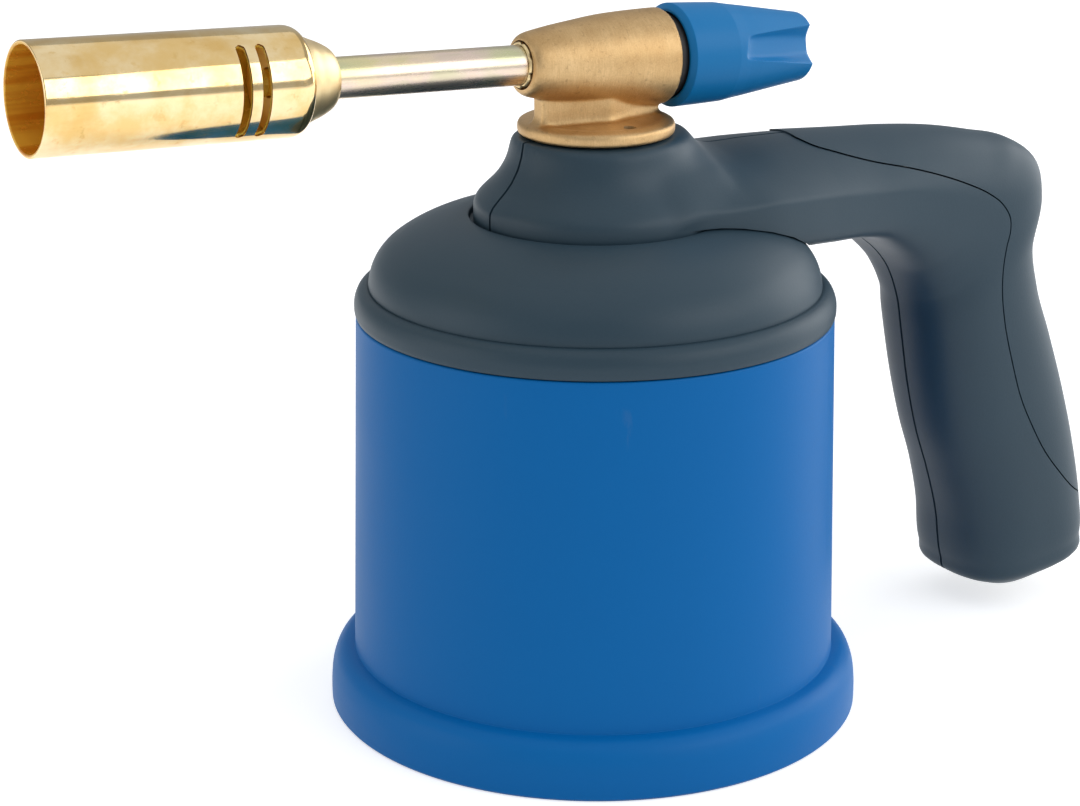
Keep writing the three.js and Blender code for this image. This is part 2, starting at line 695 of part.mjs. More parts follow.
function clampNut() {
  const flats = Array.from({ length: nutFlats }, (_, k) => {
    const angle = 2 * Math.PI * k / nutFlats;
    const radius = spigotRadius + gap + nutWall;
    return new THREE.Vector2(radius * Math.cos(angle), radius * Math.sin(angle));
  });
  const shape = new THREE.Shape(flats);
  shape.holes.push(new THREE.Path().absarc(0, 0, spigotRadius + gap, 0, 2 * Math.PI, true));
  const settings = { depth: nutHeight, bevelEnabled: false, curveSegments: smallSides };
  const nut = new THREE.ExtrudeGeometry(shape, settings);
  piece('collar_clamp_nut', skin(nut.translate(0, 0, nutBottom)), steel);
}

function needleValve() {
  const seatFront = -chamberFront + gap;
  const seat = tubeAlong(chamberRadius - gap, seatOrifice, seatFront, seatFront + seatLength);
  piece('valve_seat', turnedAlong(seat, hiddenSides), brightBrass, burnerLine);
  const point = seatFront + seatLength - spindlePointRadius;
  const end = point + spindleLength;
  const shoulder = chamberRear + gap;
  const pistonRadius = glandBoreRadius - gap;
  const grooveFloor = pistonRadius - 2 * ringSection;
  const glandStart = barrelRear - glandLength;
  const pistonEnd = glandStart - gap - knobTravel;
  const groove = (shoulder + pistonEnd) / 2;
  const grooveHalf = ringSection + gap;
  const spindle = [
    [point, 0], [point, spindlePointRadius], [point + spindleNeckLength / 2, spindleNeckRadius],
    [shoulder, spindleNeckRadius], [shoulder, pistonRadius], [groove - grooveHalf, pistonRadius],
    [groove - grooveHalf, grooveFloor], [groove + grooveHalf, grooveFloor],
    [groove + grooveHalf, pistonRadius], [pistonEnd, pistonRadius], [pistonEnd, spindleRadius],
    [end, spindleRadius], [end, knobScrewRadius + gap],
    [end - knobScrewLength, knobScrewRadius + gap], [end - knobScrewLength, 0],
  ];
  piece('valve_spindle', turnedAlong(spindle), steel, burnerLine);
  const ringCentre = glandBoreRadius - ringSection - gap / 3;
  const ring = new THREE.TorusGeometry(ringCentre, ringSection - gap / 3, ringSides, hiddenSides);
  piece('spindle_o_ring', ring.rotateY(Math.PI / 2).translate(groove, 0, 0), blackRubber, burnerLine);
  const glandBore = spindleRadius + gap;
  piece('gland_nut', turnedAlong([
    [glandStart, glandBore], [glandStart, glandBoreRadius - gap], [barrelRear + gap, glandBoreRadius - gap],
    [barrelRear + gap, glandFlangeRadius], [barrelRear + gap + glandFlangeLength, glandFlangeRadius],
    [barrelRear + gap + glandFlangeLength, glandBore], [glandStart, glandBore],
  ]), blackRubber, burnerLine);
  return end;
}

function knobAndScrew(spindleEnd) {
  const outer = knobShares.map(([place, radius]) =>
    [knobFront + place * knobLength, radius * knobRadius]);
  const blank = turnedAlong([[knobFront, 0], ...outer, [knobEnd, 0]], mediumSides);
  const recessEnd = knobFront + knobRecessDepth;
  const wallEnd = spindleEnd + gap + knobEndWall;
  const flutes = Array.from({ length: fluteCount }, (_, k) => {
    const rise = Math.atan2(knobRadius - fluteFloorRadius, fluteLength);
    const cutter = new THREE.CylinderGeometry(fluteRadius, fluteRadius, 2 * knobLength, mediumSides);
    cutter.rotateZ(Math.PI / 2 - rise).translate(knobEnd, fluteFloorRadius + fluteRadius, 0);
    return cutter.rotateX((180 - fluteTurn + 360 * k / fluteCount) * degrees);
  });
  const bores = [
    rodAlong(knobRecessRadius, knobFront - overrun, recessEnd),
    rodAlong(spindleRadius + gap, recessEnd - overrun, spindleEnd + gap),
    rodAlong(knobScrewRadius + gap, spindleEnd, knobEnd + overrun),
    rodAlong(knobScrewHeadRadius + gap, wallEnd, knobEnd + overrun),
  ].map(profile => turnedAlong(profile));
  piece('knob', cut(blank, ...flutes, ...bores), knobPlastic, burnerLine);
  const head = wallEnd + gap;
  piece('knob_screw', turnedAlong([
    [spindleEnd - knobScrewLength + gap, 0], [spindleEnd - knobScrewLength + gap, knobScrewRadius],
    [head, knobScrewRadius], [head, knobScrewHeadRadius], [head + knobScrewHeadHeight, knobScrewHeadRadius],
    [head + knobScrewHeadHeight, 0],
  ]), steel, burnerLine);
}

function burner() {
  const boreTube = tubeRadius - tubeWall;
  const jetBack = plugFront - jetProud + jetLength;
  const tubeFront = jetBack + gap;
  piece('gas_tube', turnedAlong(tubeAlong(tubeRadius, boreTube, tubeFront, tubeEnd)), steel, burnerLine);
  piece('tube_ferrule', turnedAlong(tubeAlong(tubeOuterBore + ferruleWall, tubeOuterBore,
    -barrelFront - ferruleLength / 2, -barrelFront + ferruleLength - gap)), castBrass, burnerLine);

  const nose = noseShares.map(([place, radius]) =>
    [flameTubeRear + place * noseLength, radius * noseRadius]);
  piece('burner_head', turnedAlong([
    [plugFront, jetRadius + gap], [plugFront, headPlugRadius], [plugRear - headPlugChamfer, headPlugRadius],
    [plugRear, noseRadius], ...nose, [noseTip, tubeOuterBore], [jetBack, tubeOuterBore],
    [jetBack, jetRadius + gap], [plugFront, jetRadius + gap],
  ], mediumSides), castBrass, burnerLine);
  piece('gas_jet', turnedAlong([
    [plugFront - jetProud, jetOrifice], [plugFront - jetProud, jetRadius / 2],
    [plugFront - jetProud / 2, jetRadius],
    [jetBack, jetRadius], [jetBack, jetRadius / 2], [plugFront, jetRadius / 2], [plugFront, jetOrifice],
    [plugFront - jetProud, jetOrifice],
  ], hiddenSides), brightBrass, burnerLine);

  const rolled = flameTubeRadius - flameTubeLip;
  const bend = flameTubeRear - flameTubeRoll;
  const wall = turnedAlong([
    [-mouthReach, flameTubeInner], [-mouthReach, flameTubeRadius], [bend, flameTubeRadius],
    ...flameTubeRollShares.map(([place, drawn]) =>
      [bend + place * flameTubeRoll, flameTubeRadius - drawn * flameTubeLip]),
    [flameTubeRear, rolled + gap], [flameTubeRear - flameTubeWall, rolled + gap],
    [bend + gap, flameTubeInner], [-mouthReach, flameTubeInner],
  ], mediumSides);
  const slots = [0, 1].flatMap(pair => [0, 180].map(side => {
    const low = flameTubeRear - slotBack - pair * slotPitch - slotWidth / 2;
    return sector(flameTubeRadius + overrun, flameTubeInner - overrun, low, low + slotWidth,
      side + 90 - slotHalfTurn, side + 90 + slotHalfTurn).rotateY(Math.PI / 2);
  }));
  piece('flame_tube', cut(wall, ...slots), brightBrass, burnerLine);

  const stabiliser = -mouthReach + stabiliserReach;
  const stabiliserBack = stabiliser + stabiliserThickness;
  const holes = Array.from({ length: stabiliserHoles }, (_, k) => {
    const angle = 2 * Math.PI * k / stabiliserHoles;
    const hole = rodAlong(stabiliserHoleRadius, stabiliser - overrun, stabiliserBack + overrun);
    return turnedAlong(hole, hiddenSides)
      .translate(0, stabiliserHoleCircle * Math.cos(angle), stabiliserHoleCircle * Math.sin(angle));
  });
  const disc = tubeAlong(flameTubeInner - gap, stabiliserHoleRadius, stabiliser, stabiliserBack);
  piece('flame_stabiliser', cut(turnedAlong(disc, mediumSides), ...holes), steel, burnerLine);
}

baseCup();
gasCartridge();
lidDome();
lidBush();
piercingGear();
handleShells();
valveBody();
clampNut();
knobAndScrew(needleValve());
burner();

export default part;
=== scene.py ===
import json
import math
import bmesh
import bpy
import numpy as np
from mathutils import Matrix, Vector


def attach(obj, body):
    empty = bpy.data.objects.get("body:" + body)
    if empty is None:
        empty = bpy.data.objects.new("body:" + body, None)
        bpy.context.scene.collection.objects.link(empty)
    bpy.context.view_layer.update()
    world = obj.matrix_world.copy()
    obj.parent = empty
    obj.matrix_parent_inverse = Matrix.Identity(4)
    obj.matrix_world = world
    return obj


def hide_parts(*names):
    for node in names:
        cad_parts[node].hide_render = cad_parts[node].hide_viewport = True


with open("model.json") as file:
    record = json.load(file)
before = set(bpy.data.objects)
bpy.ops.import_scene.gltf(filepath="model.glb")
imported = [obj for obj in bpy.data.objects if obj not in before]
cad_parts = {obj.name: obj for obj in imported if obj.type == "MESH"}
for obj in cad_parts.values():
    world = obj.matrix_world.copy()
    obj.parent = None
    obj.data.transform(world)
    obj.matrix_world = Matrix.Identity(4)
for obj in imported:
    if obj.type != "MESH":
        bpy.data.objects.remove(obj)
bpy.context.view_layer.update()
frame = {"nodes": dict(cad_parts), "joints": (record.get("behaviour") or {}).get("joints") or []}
print("frame loaded")

# Gas soldering torch, dressed around its CAD frame. Sizes are in millimetres and angles in
# degrees, and a mesh is scaled to metres as it is made. +X points to the handle, -Y to the
# camera's side, +Z up. The burner's own line runs back from the mouth to the knob.

mm = 0.001
degree = math.pi / 180
roundSides = 224

knobJoint = next(joint for joint in frame["joints"] if joint["name"] == "knob_turn")
axisOrigin = np.array(knobJoint["pos_m"]) / mm
axisBack = np.array(knobJoint["axis"]) / np.linalg.norm(knobJoint["axis"])
axisUp = np.array([-axisBack[2], 0, axisBack[0]])
axisPitch = math.atan2(-axisBack[2], axisBack[0])


# Shader expressions

class Wire:
    # One output socket. Arithmetic on it adds Math nodes to its tree.
    def __init__(self, finish, socket):
        self.finish = finish
        self.socket = socket

    def math(self, operation, *others):
        values = dict(enumerate((self,) + others))
        return self.finish.add("ShaderNodeMath", {"operation": operation}, values)

    def __add__(self, other):
        return self.math("ADD", other)

    __radd__ = __add__

    def __sub__(self, other):
        return self.math("SUBTRACT", other)

    def __rsub__(self, other):
        return self.finish.add("ShaderNodeMath", {"operation": "SUBTRACT"}, {0: other, 1: self})

    def __mul__(self, other):
        return self.math("MULTIPLY", other)

    __rmul__ = __mul__

    def __truediv__(self, other):
        return self.math("DIVIDE", other)

    def held(self, low, high):
        return self.math("MAXIMUM", low).math("MINIMUM", high)

    def step(self, low, high):
        # 0 below low, 1 above high, smooth between
        share = ((self - low) / (high - low)).held(0, 1)
        return share * share * (3 - 2 * share)


class Finish:
    # A material and its node tree, with one method for every node.
    def __init__(self, name):
        self.material = bpy.data.materials.new(name)
        self.material.use_nodes = True
        self.tree = self.material.node_tree
        self.shader = self.tree.nodes["Principled BSDF"]
        self.place = self.add("ShaderNodeTexCoord", out="Object")

    def add(self, kind, settings=None, values=None, out=0):
        node = self.tree.nodes.new(kind)
        for key, value in (settings or {}).items():
            if key == "stops":
                self.setStops(node.color_ramp, value)
            else:
                setattr(node, key, value)
        for key, value in (values or {}).items():
            self.feed(node.inputs[key], value)
        return Wire(self, node.outputs[out])

    def setStops(self, ramp, stops):
        while len(ramp.elements) < len(stops):
            ramp.elements.new(0.5)
        for element, (place, color) in zip(ramp.elements, stops):
            element.position = place
            element.color = (*color, 1)

    def feed(self, socket, value):
        if isinstance(value, Wire):
            self.tree.links.new(value.socket, socket)
        elif isinstance(value, tuple) and len(value) == 3 and socket.type == "RGBA":
            socket.default_value = (*value, 1)
        else:
            socket.default_value = value

    def looks(self, **values):
        # Sets the shader's sockets; a name's underscores stand for spaces.
        for key, value in values.items():
            self.feed(self.shader.inputs[key.replace("_", " ")], value)

    def mixed(self, share, low, high):
        # 0, 6, 7 and output 2 are the Mix node's factor, its two colours and its colour result
        return self.add("ShaderNodeMix", {"data_type": "RGBA"}, {0: share, 6: low, 7: high}, 2)

    def mapped(self, scale, turn):
        return self.add("ShaderNodeMapping", {},
                        {"Vector": self.place, "Scale": scale, "Rotation": turn})

    def noise(self, size, detail=2, roughness=0.5, place=None):
        # Noise whose features are about size millimetres across
        return self.add("ShaderNodeTexNoise", {}, {
            "Vector": place or self.place, "Scale": 1 / (size * mm), "Detail": detail,
            "Roughness": roughness})

    def drawn(self, size, shape, detail=3, roughness=0.6):
        # Noise drawn out along the burner's line or round it: shape scales the place first
        return self.noise(size, detail, roughness, self.mapped(shape, (0, axisPitch, 0)))

    def bump(self, height, depth, strength=1.0, under=None):
        # height is a share and depth its reach in millimetres
        values = {"Height": height, "Distance": depth * mm, "Strength": strength}
        if under:
            values["Normal"] = under
        return self.add("ShaderNodeBump", {}, values)

    def along(self):
        # Place along the burner's line in millimetres, from the canister's axis back
        return self.add("ShaderNodeVectorMath", {"operation": "DOT_PRODUCT"},
                        {0: self.fromAxis(), 1: tuple(axisBack)}, "Value") / mm

    def fromAxis(self):
        return self.add("ShaderNodeVectorMath", {"operation": "SUBTRACT"},
                        {0: self.place, 1: tuple(axisOrigin * mm)})

    def awayFromAxis(self):
        # Distance from the burner's line in millimetres: length of the cross product
        cross = self.add("ShaderNodeVectorMath", {"operation": "CROSS_PRODUCT"},
                         {0: self.fromAxis(), 1: tuple(axisBack)})
        return self.add("ShaderNodeVectorMath", {"operation": "LENGTH"}, {0: cross}, "Value") / mm


# Each finish has its numbers in one dictionary: sizes and depths in millimetres, steps as the
# values that they start and end at, shapes as scales along the burner's line and across it.

mouldedPlastic = {
    "cloudSize": 28, "grainSize": 0.55, "pitSize": 0.18, "scuffSize": 5.5, "cloudShare": 0.55,
    "grainShare": 0.35, "scuffShape": (1, 1, 0.22), "scuffTurn": (0.5, 0.2, 0.9),
    "scuffStep": (0.66, 0.76), "scuffShare": 0.16, "uneven": 0.12, "scuffRough": 0.05,
    "grainDepth": 0.03, "grainBump": 0.55, "pitDepth": 0.02, "pitBump": 0.45,
}


def plastic(name, color, pale, roughness, gloss, grain=1.0):
    # Spark-eroded mould texture: two noises for the grain, a wide one for tone, thin pale scuffs.
    look = mouldedPlastic
    finish = Finish(name)
    cloud = finish.noise(look["cloudSize"], 3)
    grainy = finish.noise(look["grainSize"], 3)
    pits = finish.noise(look["pitSize"], 2)
    scuffPlace = finish.mapped(look["scuffShape"], look["scuffTurn"])
    scuff = finish.noise(look["scuffSize"], 6, 0.7, scuffPlace).step(*look["scuffStep"])
    share = cloud * look["cloudShare"] + grainy * look["grainShare"]
    tone = finish.mixed(share.held(0, 1), color, pale)
    worn = finish.mixed(scuff * look["scuffShare"], tone, tuple(0.6 * c + 0.09 for c in pale))
    height = finish.bump(grainy, look["grainDepth"], look["grainBump"] * grain)
    finish.looks(Base_Color=worn,
                 Roughness=roughness + (cloud - 0.5) * look["uneven"] + scuff * look["scuffRough"],
                 Normal=finish.bump(pits, look["pitDepth"], look["pitBump"] * grain, height))
    finish.shader.inputs["Specular IOR Level"].default_value = gloss
    return finish.material


blastedCasting = {
    "cloudSize": 7, "grainSize": 0.32, "cloudShare": 1.3, "grainShare": 0.9, "darkShare": 0.6,
    "streakSize": 0.5, "streakShape": (2.4, 0.25, 0.25), "streakStep": (0.35, 0.7),
    "streakShare": 0.38, "speckSize": 1.1, "speckStep": (0.56, 0.7), "speckShare": 0.42,
    "speckTone": 0.62, "grainRough": 0.22, "cloudRough": 0.1, "grainDepth": 0.09,
    "grainBump": 0.7, "streakDepth": 0.03, "streakBump": 0.3,
}


def castBrassFinish(name, color, dark, roughness):
    # Blasted and lightly brushed casting: fine grains, faint streaks round the barrel, dark specks.
    look = blastedCasting
    finish = Finish(name)
    cloud = finish.noise(look["cloudSize"], 4)
    grains = finish.noise(look["grainSize"], 3, 0.6)
    streaks = finish.drawn(look["streakSize"], look["streakShape"])
    share = cloud * look["cloudShare"] + grains * look["grainShare"] - look["darkShare"]
    tone = finish.mixed(share.held(0, 1), dark, color)
    brushed = finish.mixed(streaks.step(*look["streakStep"]) * look["streakShare"], tone, dark)
    specks = finish.noise(look["speckSize"], 5, 0.68).step(*look["speckStep"])
    specked = finish.mixed(specks * look["speckShare"], brushed,
                           tuple(look["speckTone"] * c for c in dark))
    under = finish.bump(grains, look["grainDepth"], look["grainBump"])
    finish.looks(Base_Color=specked, Metallic=1.0,
                 Roughness=(roughness + (grains - 0.5) * look["grainRough"]
                            + (cloud - 0.5) * look["cloudRough"]),
                 Normal=finish.bump(streaks, look["streakDepth"], look["streakBump"], under))
    return finish.material


polishedTube = {
    "bore": 10.2, "boreEnd": -69.4, "boreEdge": 0.15, "outside": (0.85, 0.585, 0.24),
    "pale": (0.95, 0.76, 0.45), "tarnish": (0.66, 0.38, 0.08), "inside": (1.0, 0.6, 0.06),
    # The bore's bright gold from -86 back is painted light: it stands for light coming in through the
    # slots.
    "soot": (0.7, 0.24, 0.01), "insideMatte": 0.8, "slotLight": (1.0, 0.7, 0.1),
    "slotLightFrom": -86, "cloudSize": 9, "cloudStep": (0.35, 0.7), "spotSize": 2.2,
    "spotStep": (0.6, 0.72), "spotShare": 0.3, "stainSize": 7, "stainShape": (0.5, 1, 1),
    "stainStep": (0.48, 0.68), "stainShare": 0.34, "drawnSize": 0.8, "drawnShape": (0.05, 1, 1),
    "streakSize": 3, "streakShape": (0.04, 1, 1), "streakStep": (0.38, 0.62), "streakShare": 0.7,
    "cloudShare": 0.5, "sootShare": 0.1, "roughness": 0.06, "cloudRough": 0.07, "spotRough": 0.1,
    "stainRough": 0.05, "insideRough": 0.16, "waveDepth": 0.12, "waveBump": 0.12,
    "drawnDepth": 0.015, "drawnBump": 0.35,
}


def polishedBrass(name):
    # Bright drawn tube: stains outside, and an orange-brown bore told by its distance from the axis, its
    # heat tint crossed by painted reflections in streaks and, behind the stabiliser, painted bright gold
    # for light through the slots.
    look = polishedTube
    finish = Finish(name)
    cloud = finish.noise(look["cloudSize"], 5, 0.6)
    spots = finish.noise(look["spotSize"], 4, 0.6).step(*look["spotStep"])
    stains = finish.drawn(look["stainSize"], look["stainShape"], 4, 0.55).step(*look["stainStep"])
    drawn = finish.drawn(look["drawnSize"], look["drawnShape"])
    clean = finish.mixed(cloud.step(*look["cloudStep"]), look["outside"], look["pale"])
    marks = (spots * look["spotShare"] + stains * look["stainShare"]).held(0, 1)
    stained = finish.mixed(marks, clean, look["tarnish"])
    # Painted reflections: bright streaks drawn along the bore stand for reflections in its polished
    # wall, and between them lies the heat tint, from soot-brown to orange.
    paintedReflectionStreak = finish.drawn(look["streakSize"], look["streakShape"]).step(*look["streakStep"])
    reflectionStreakAndTone = paintedReflectionStreak * look["streakShare"] + cloud * look["cloudShare"] - look["sootShare"]
    heatTintAndPaintedLight = finish.mixed(reflectionStreakAndTone.held(0, 1), look["soot"], look["inside"])
    # Painted light: behind the stabiliser the bore turns bright gold, for light through the slots.
    slotLightShare = finish.along().step(look["slotLightFrom"] - 1, look["slotLightFrom"])
    heatTintAndPaintedLight = finish.mixed(slotLightShare, heatTintAndPaintedLight, look["slotLight"])
    bore, edge = look["bore"], look["boreEdge"]
    within = 1 - finish.awayFromAxis().step(bore - edge, bore + edge)
    within = within * (1 - finish.along().step(look["boreEnd"] - edge, look["boreEnd"]))
    under = finish.bump(cloud, look["waveDepth"], look["waveBump"])
    finish.looks(Base_Color=finish.mixed(within, stained, heatTintAndPaintedLight),
                 Metallic=1 - within * look["insideMatte"],
                 Roughness=(look["roughness"] + cloud * look["cloudRough"]
                            + spots * look["spotRough"] + stains * look["stainRough"]
                            + within * look["insideRough"]),
                 Normal=finish.bump(drawn, look["drawnDepth"], look["drawnBump"], under))
    return finish.material


latheTurned = {
    "cloudSize": 5, "ringSize": 0.35, "ringShape": (1, 0.06, 0.06), "cloudShare": 0.9,
    "ringShare": 0.2, "stain": (1.0, 0.64, 0.13), "stainFrom": -68.5, "stainEdge": 0.1,
    "stainMatte": 0.5, "roughness": 0.36, "ringRough": 0.05, "stainRough": 0.1,
    "ringDepth": 0.005, "ringBump": 0.2,
}


def turnedBrass(name, color, dark):
    # Lathe-turned brass: fine rings along the burner's line, and a heat stain at its front.
    look = latheTurned
    finish = Finish(name)
    cloud = finish.noise(look["cloudSize"], 4)
    rings = finish.drawn(look["ringSize"], look["ringShape"], 2, 0.5)
    share = cloud * look["cloudShare"] + rings * look["ringShare"]
    clean = finish.mixed(share.held(0, 1), dark, color)
    place, edge = look["stainFrom"], look["stainEdge"]
    hot = 1 - finish.along().step(place - edge, place + edge)
    finish.looks(Base_Color=finish.mixed(hot, clean, look["stain"]),
                 Metallic=1 - hot * look["stainMatte"],
                 Roughness=look["roughness"] + rings * look["ringRough"] + hot * look["stainRough"],
                 Normal=finish.bump(rings, look["ringDepth"], look["ringBump"]))
    return finish.material


yellowPlate = {
    "hues": [(0.3, (0.64, 0.64, 0.36)), (0.42, (0.78, 0.69, 0.38)), (0.5, (0.86, 0.7, 0.5)),
             (0.58, (0.8, 0.64, 0.55)), (0.7, (0.66, 0.66, 0.4))],
    "dull": (0.66, 0.58, 0.42), "dullStep": (0.3, 0.75), "dullShare": 0.4,
    "cloudSize": 9, "cloudShape": (0.45, 1, 1), "fineSize": 0.6, "fineShape": (0.1, 1, 1),
}


def zincPlate(name):
    # Yellow-passivated plate: pink, gold and green clouds drawn out along the tube.
    look = yellowPlate
    finish = Finish(name)
    clouds = finish.drawn(look["cloudSize"], look["cloudShape"], 3, 0.5)
    fine = finish.drawn(look["fineSize"], look["fineShape"])
    hue = finish.add("ShaderNodeValToRGB", {"stops": look["hues"]}, {"Fac": clouds})
    tone = finish.mixed(fine.step(*look["dullStep"]) * look["dullShare"], hue, look["dull"])
    finish.looks(Base_Color=tone, Metallic=1.0, Roughness=0.2 + fine * 0.16,
                 Normal=finish.bump(fine, 0.02, 0.3))
    return finish.material


def plainMetal(name, color, roughness):
    # Clouds and fine grain between the colour and a darker tone of it.
    finish = Finish(name)
    cloud = finish.noise(4, 4)
    fine = finish.noise(0.3, 3, 0.6)
    dark = tuple(c * 0.72 for c in color)
    finish.looks(Base_Color=finish.mixed((cloud * 0.6 + fine * 0.4).held(0, 1), dark, color),
                 Metallic=1.0, Roughness=roughness + (fine - 0.5) * 0.16,
                 Normal=finish.bump(fine, 0.02, 0.4))
    return finish.material


def rubber(name, color, roughness):
    # Dull black with a fine bloom.
    finish = Finish(name)
    fine = finish.noise(0.25, 3, 0.6)
    pale = tuple(c + 0.012 for c in color)
    finish.looks(Base_Color=finish.mixed(fine, color, pale), Roughness=roughness + fine * 0.1,
                 Normal=finish.bump(fine, 0.03, 0.5))
    return finish.material


finishes = {
    "blue_plastic": plastic("cup blue plastic", (0.0, 0.135, 0.42), (0.0, 0.15, 0.455), 0.46, 0.16),
    "knob_plastic": plastic("knob blue plastic", (0.001, 0.16, 0.42), (0.003, 0.19, 0.47), 0.42,
                            0.25, 0.7),
    "slate_plastic": plastic("slate plastic", (0.021, 0.046, 0.068), (0.033, 0.065, 0.091), 0.46,
                             0.33),
    # The gland's black is painted shade: it darkens the gap between barrel and knob.
    "black_plastic": rubber("gland black for gap shade", (0.006, 0.006, 0.007), 0.45),
    "black_rubber": rubber("black rubber", (0.01, 0.01, 0.011), 0.7),
    "cast_brass": castBrassFinish("cast brass", (0.76, 0.54, 0.285), (0.49, 0.3, 0.125), 0.47),
    "turned_brass": turnedBrass("turned brass", (0.93, 0.77, 0.46), (0.74, 0.52, 0.24)),
    "bright_brass": polishedBrass("polished brass"),
    "yellow_zinc_steel": zincPlate("yellow zinc plate"),
    "steel": plainMetal("bright steel", (0.62, 0.6, 0.57), 0.3),
    "tinplate": plainMetal("tinplate", (0.7, 0.71, 0.72), 0.28),
}
print("finishes made")


# Lines and surfaces

def filleted(corners, steps=5):
    # A line through corners (a, b, fillet): each fillet is an arc tangent to both its edges.
    line = []
    points = np.array([corner[:2] for corner in corners], float)
    for k, corner in enumerate(corners):
        radius = corner[2] if len(corner) > 2 else 0
        if not radius or k in (0, len(corners) - 1):
            line.append(points[k])
            continue
        before, after = points[k - 1] - points[k], points[k + 1] - points[k]
        lengths = np.linalg.norm(before), np.linalg.norm(after)
        before, after = before / lengths[0], after / lengths[1]
        half = math.acos(np.clip(before @ after, -1, 1)) / 2
        cutBack = min(radius / math.tan(half), 0.48 * min(lengths))
        radius = cutBack * math.tan(half)
        middle = before + after
        centre = points[k] + middle / np.linalg.norm(middle) * radius / math.sin(half)
        start, end = points[k] + before * cutBack - centre, points[k] + after * cutBack - centre
        sweep = math.atan2(start[0] * end[1] - start[1] * end[0], start @ end)
        turn = np.linspace(0, sweep, steps + 1)[:, None]
        sideways = np.array([-start[1], start[0]])
        line.extend(centre + start * np.cos(turn) + sideways * np.sin(turn))
    return np.array(line)


def smoothThrough(knots, values, places):
    # A cubic through values at knots: the slope at each is the mean of its two sides, the nearer
    # side counting for more.
    knots, values = np.asarray(knots, float), np.asarray(values, float)
    if values.ndim == 1:
        values = values[:, None]
    gaps = np.diff(knots)
    rises = np.diff(values, axis=0) / gaps[:, None]
    slopes = np.vstack([rises[:1], rises[-1:]])
    if len(gaps) > 1:
        near, far = gaps[:-1, None], gaps[1:, None]
        inner = (rises[:-1] * far + rises[1:] * near) / (near + far)
        slopes = np.vstack([rises[:1], inner, rises[-1:]])
    places = np.clip(places, knots[0], knots[-1])
    k = np.clip(np.searchsorted(knots, places, side="right") - 1, 0, len(gaps) - 1)
    t = ((places - knots[k]) / gaps[k])[:, None]
    span = gaps[k][:, None]
    return (values[k] * (1 + 2 * t) * (1 - t) ** 2 + slopes[k] * span * t * (1 - t) ** 2
            + values[k + 1] * t ** 2 * (3 - 2 * t) - slopes[k + 1] * span * t ** 2 * (1 - t))


def smoothLine(points, count):
    # The same cubic through points in a plane, by the length of the straight runs between them.
    points = np.array(points, float)
    runs = np.concatenate([[0], np.cumsum(np.linalg.norm(np.diff(points, axis=0), axis=1))])
    return smoothThrough(runs, points, np.linspace(0, runs[-1], count))


def gridFaces(rows, columns):
    # Four-sided faces between neighbouring rows, closed round the columns.
    row = np.arange(rows - 1)[:, None] * columns
    column = np.arange(columns)[None, :]
    beside = (column + 1) % columns
    return np.stack([row + column, row + beside, row + beside + columns, row + column + columns],
                    axis=-1).reshape(-1, 4).tolist()


def closedMesh(name, points, faces, merged=False):
    # A closed mesh in metres with its faces turned outwards. Merged joins doubled corners first,
    # such as those of a row that has shrunk to a pole.
    mesh = bpy.data.meshes.new(name)
    mesh.from_pydata((np.asarray(points, float).reshape(-1, 3) * mm).tolist(), [], faces)
    form = bmesh.new()
    form.from_mesh(mesh)
    if merged:
        bmesh.ops.remove_doubles(form, verts=form.verts, dist=1e-7)
        bmesh.ops.dissolve_degenerate(form, edges=form.edges, dist=1e-8)
    bmesh.ops.recalc_face_normals(form, faces=form.faces)
    if form.calc_volume(signed=True) < 0:
        bmesh.ops.reverse_faces(form, faces=form.faces)
    form.to_mesh(mesh)
    form.free()
    return mesh


def linked(name, mesh):
    thing = bpy.data.objects.new(name, mesh)
    bpy.context.scene.collection.objects.link(thing)
    return thing


def fitted(name, mesh, body, slot, nodes=(), look=None, sharpest=32):
    # A finished piece: its edges, its finish, the body it rides on and the nodes it stands for.
    mesh.polygons.foreach_set("use_smooth", np.ones(len(mesh.polygons), bool))
    mesh.set_sharp_from_angle(angle=sharpest * degree)
    mesh.materials.clear()
    mesh.materials.append(finishes[look or slot])
    piece = linked(name, mesh)
    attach(piece, body)
    if nodes:
        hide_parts(*nodes)
    return piece


def applied(thing):
    # The mesh with its modifiers carried out; the object itself goes.
    bpy.context.view_layer.update()
    seen = thing.evaluated_get(bpy.context.evaluated_depsgraph_get())
    mesh = bpy.data.meshes.new_from_object(seen)
    mesh.name = thing.name
    bpy.data.objects.remove(thing)
    return mesh


def carved(mesh, *steps):
    # Exact operations of one mesh with others, in order: a mesh alone is cut out, and a pair names
    # its operation.
    thing = linked(mesh.name, mesh)
    tools = []
    for step in steps:
        operation, tool = step if isinstance(step, tuple) else ("DIFFERENCE", step)
        tools.append(linked("tool", tool))
        cut = thing.modifiers.new("cut", "BOOLEAN")
        cut.operation = operation
        cut.object = tools[-1]
        cut.solver = "EXACT"
    result = applied(thing)
    for tool in tools:
        bpy.data.objects.remove(tool)
    return result


def fused(mesh, voxel, rounds):
    # Overlapping closed forms grown together on a voxel grid, with the corners then relaxed.
    thing = linked(mesh.name, mesh)
    remesh = thing.modifiers.new("fuse", "REMESH")
    remesh.mode = "VOXEL"
    remesh.voxel_size = voxel * mm
    relax = thing.modifiers.new("relax", "SMOOTH")
    relax.factor = 0.5
    relax.iterations = rounds
    return applied(thing)


def together(name, *meshes):
    form = bmesh.new()
    for mesh in meshes:
        form.from_mesh(mesh)
    whole = bpy.data.meshes.new(name)
    form.to_mesh(whole)
    form.free()
    return whole


def fullTurn(sides):
    return np.linspace(0, 2 * math.pi, sides, endpoint=False)


def moved(mesh, place):
    # The mesh shifted by a place in millimetres
    mesh.transform(Matrix.Translation([value * mm for value in place]))
    return mesh


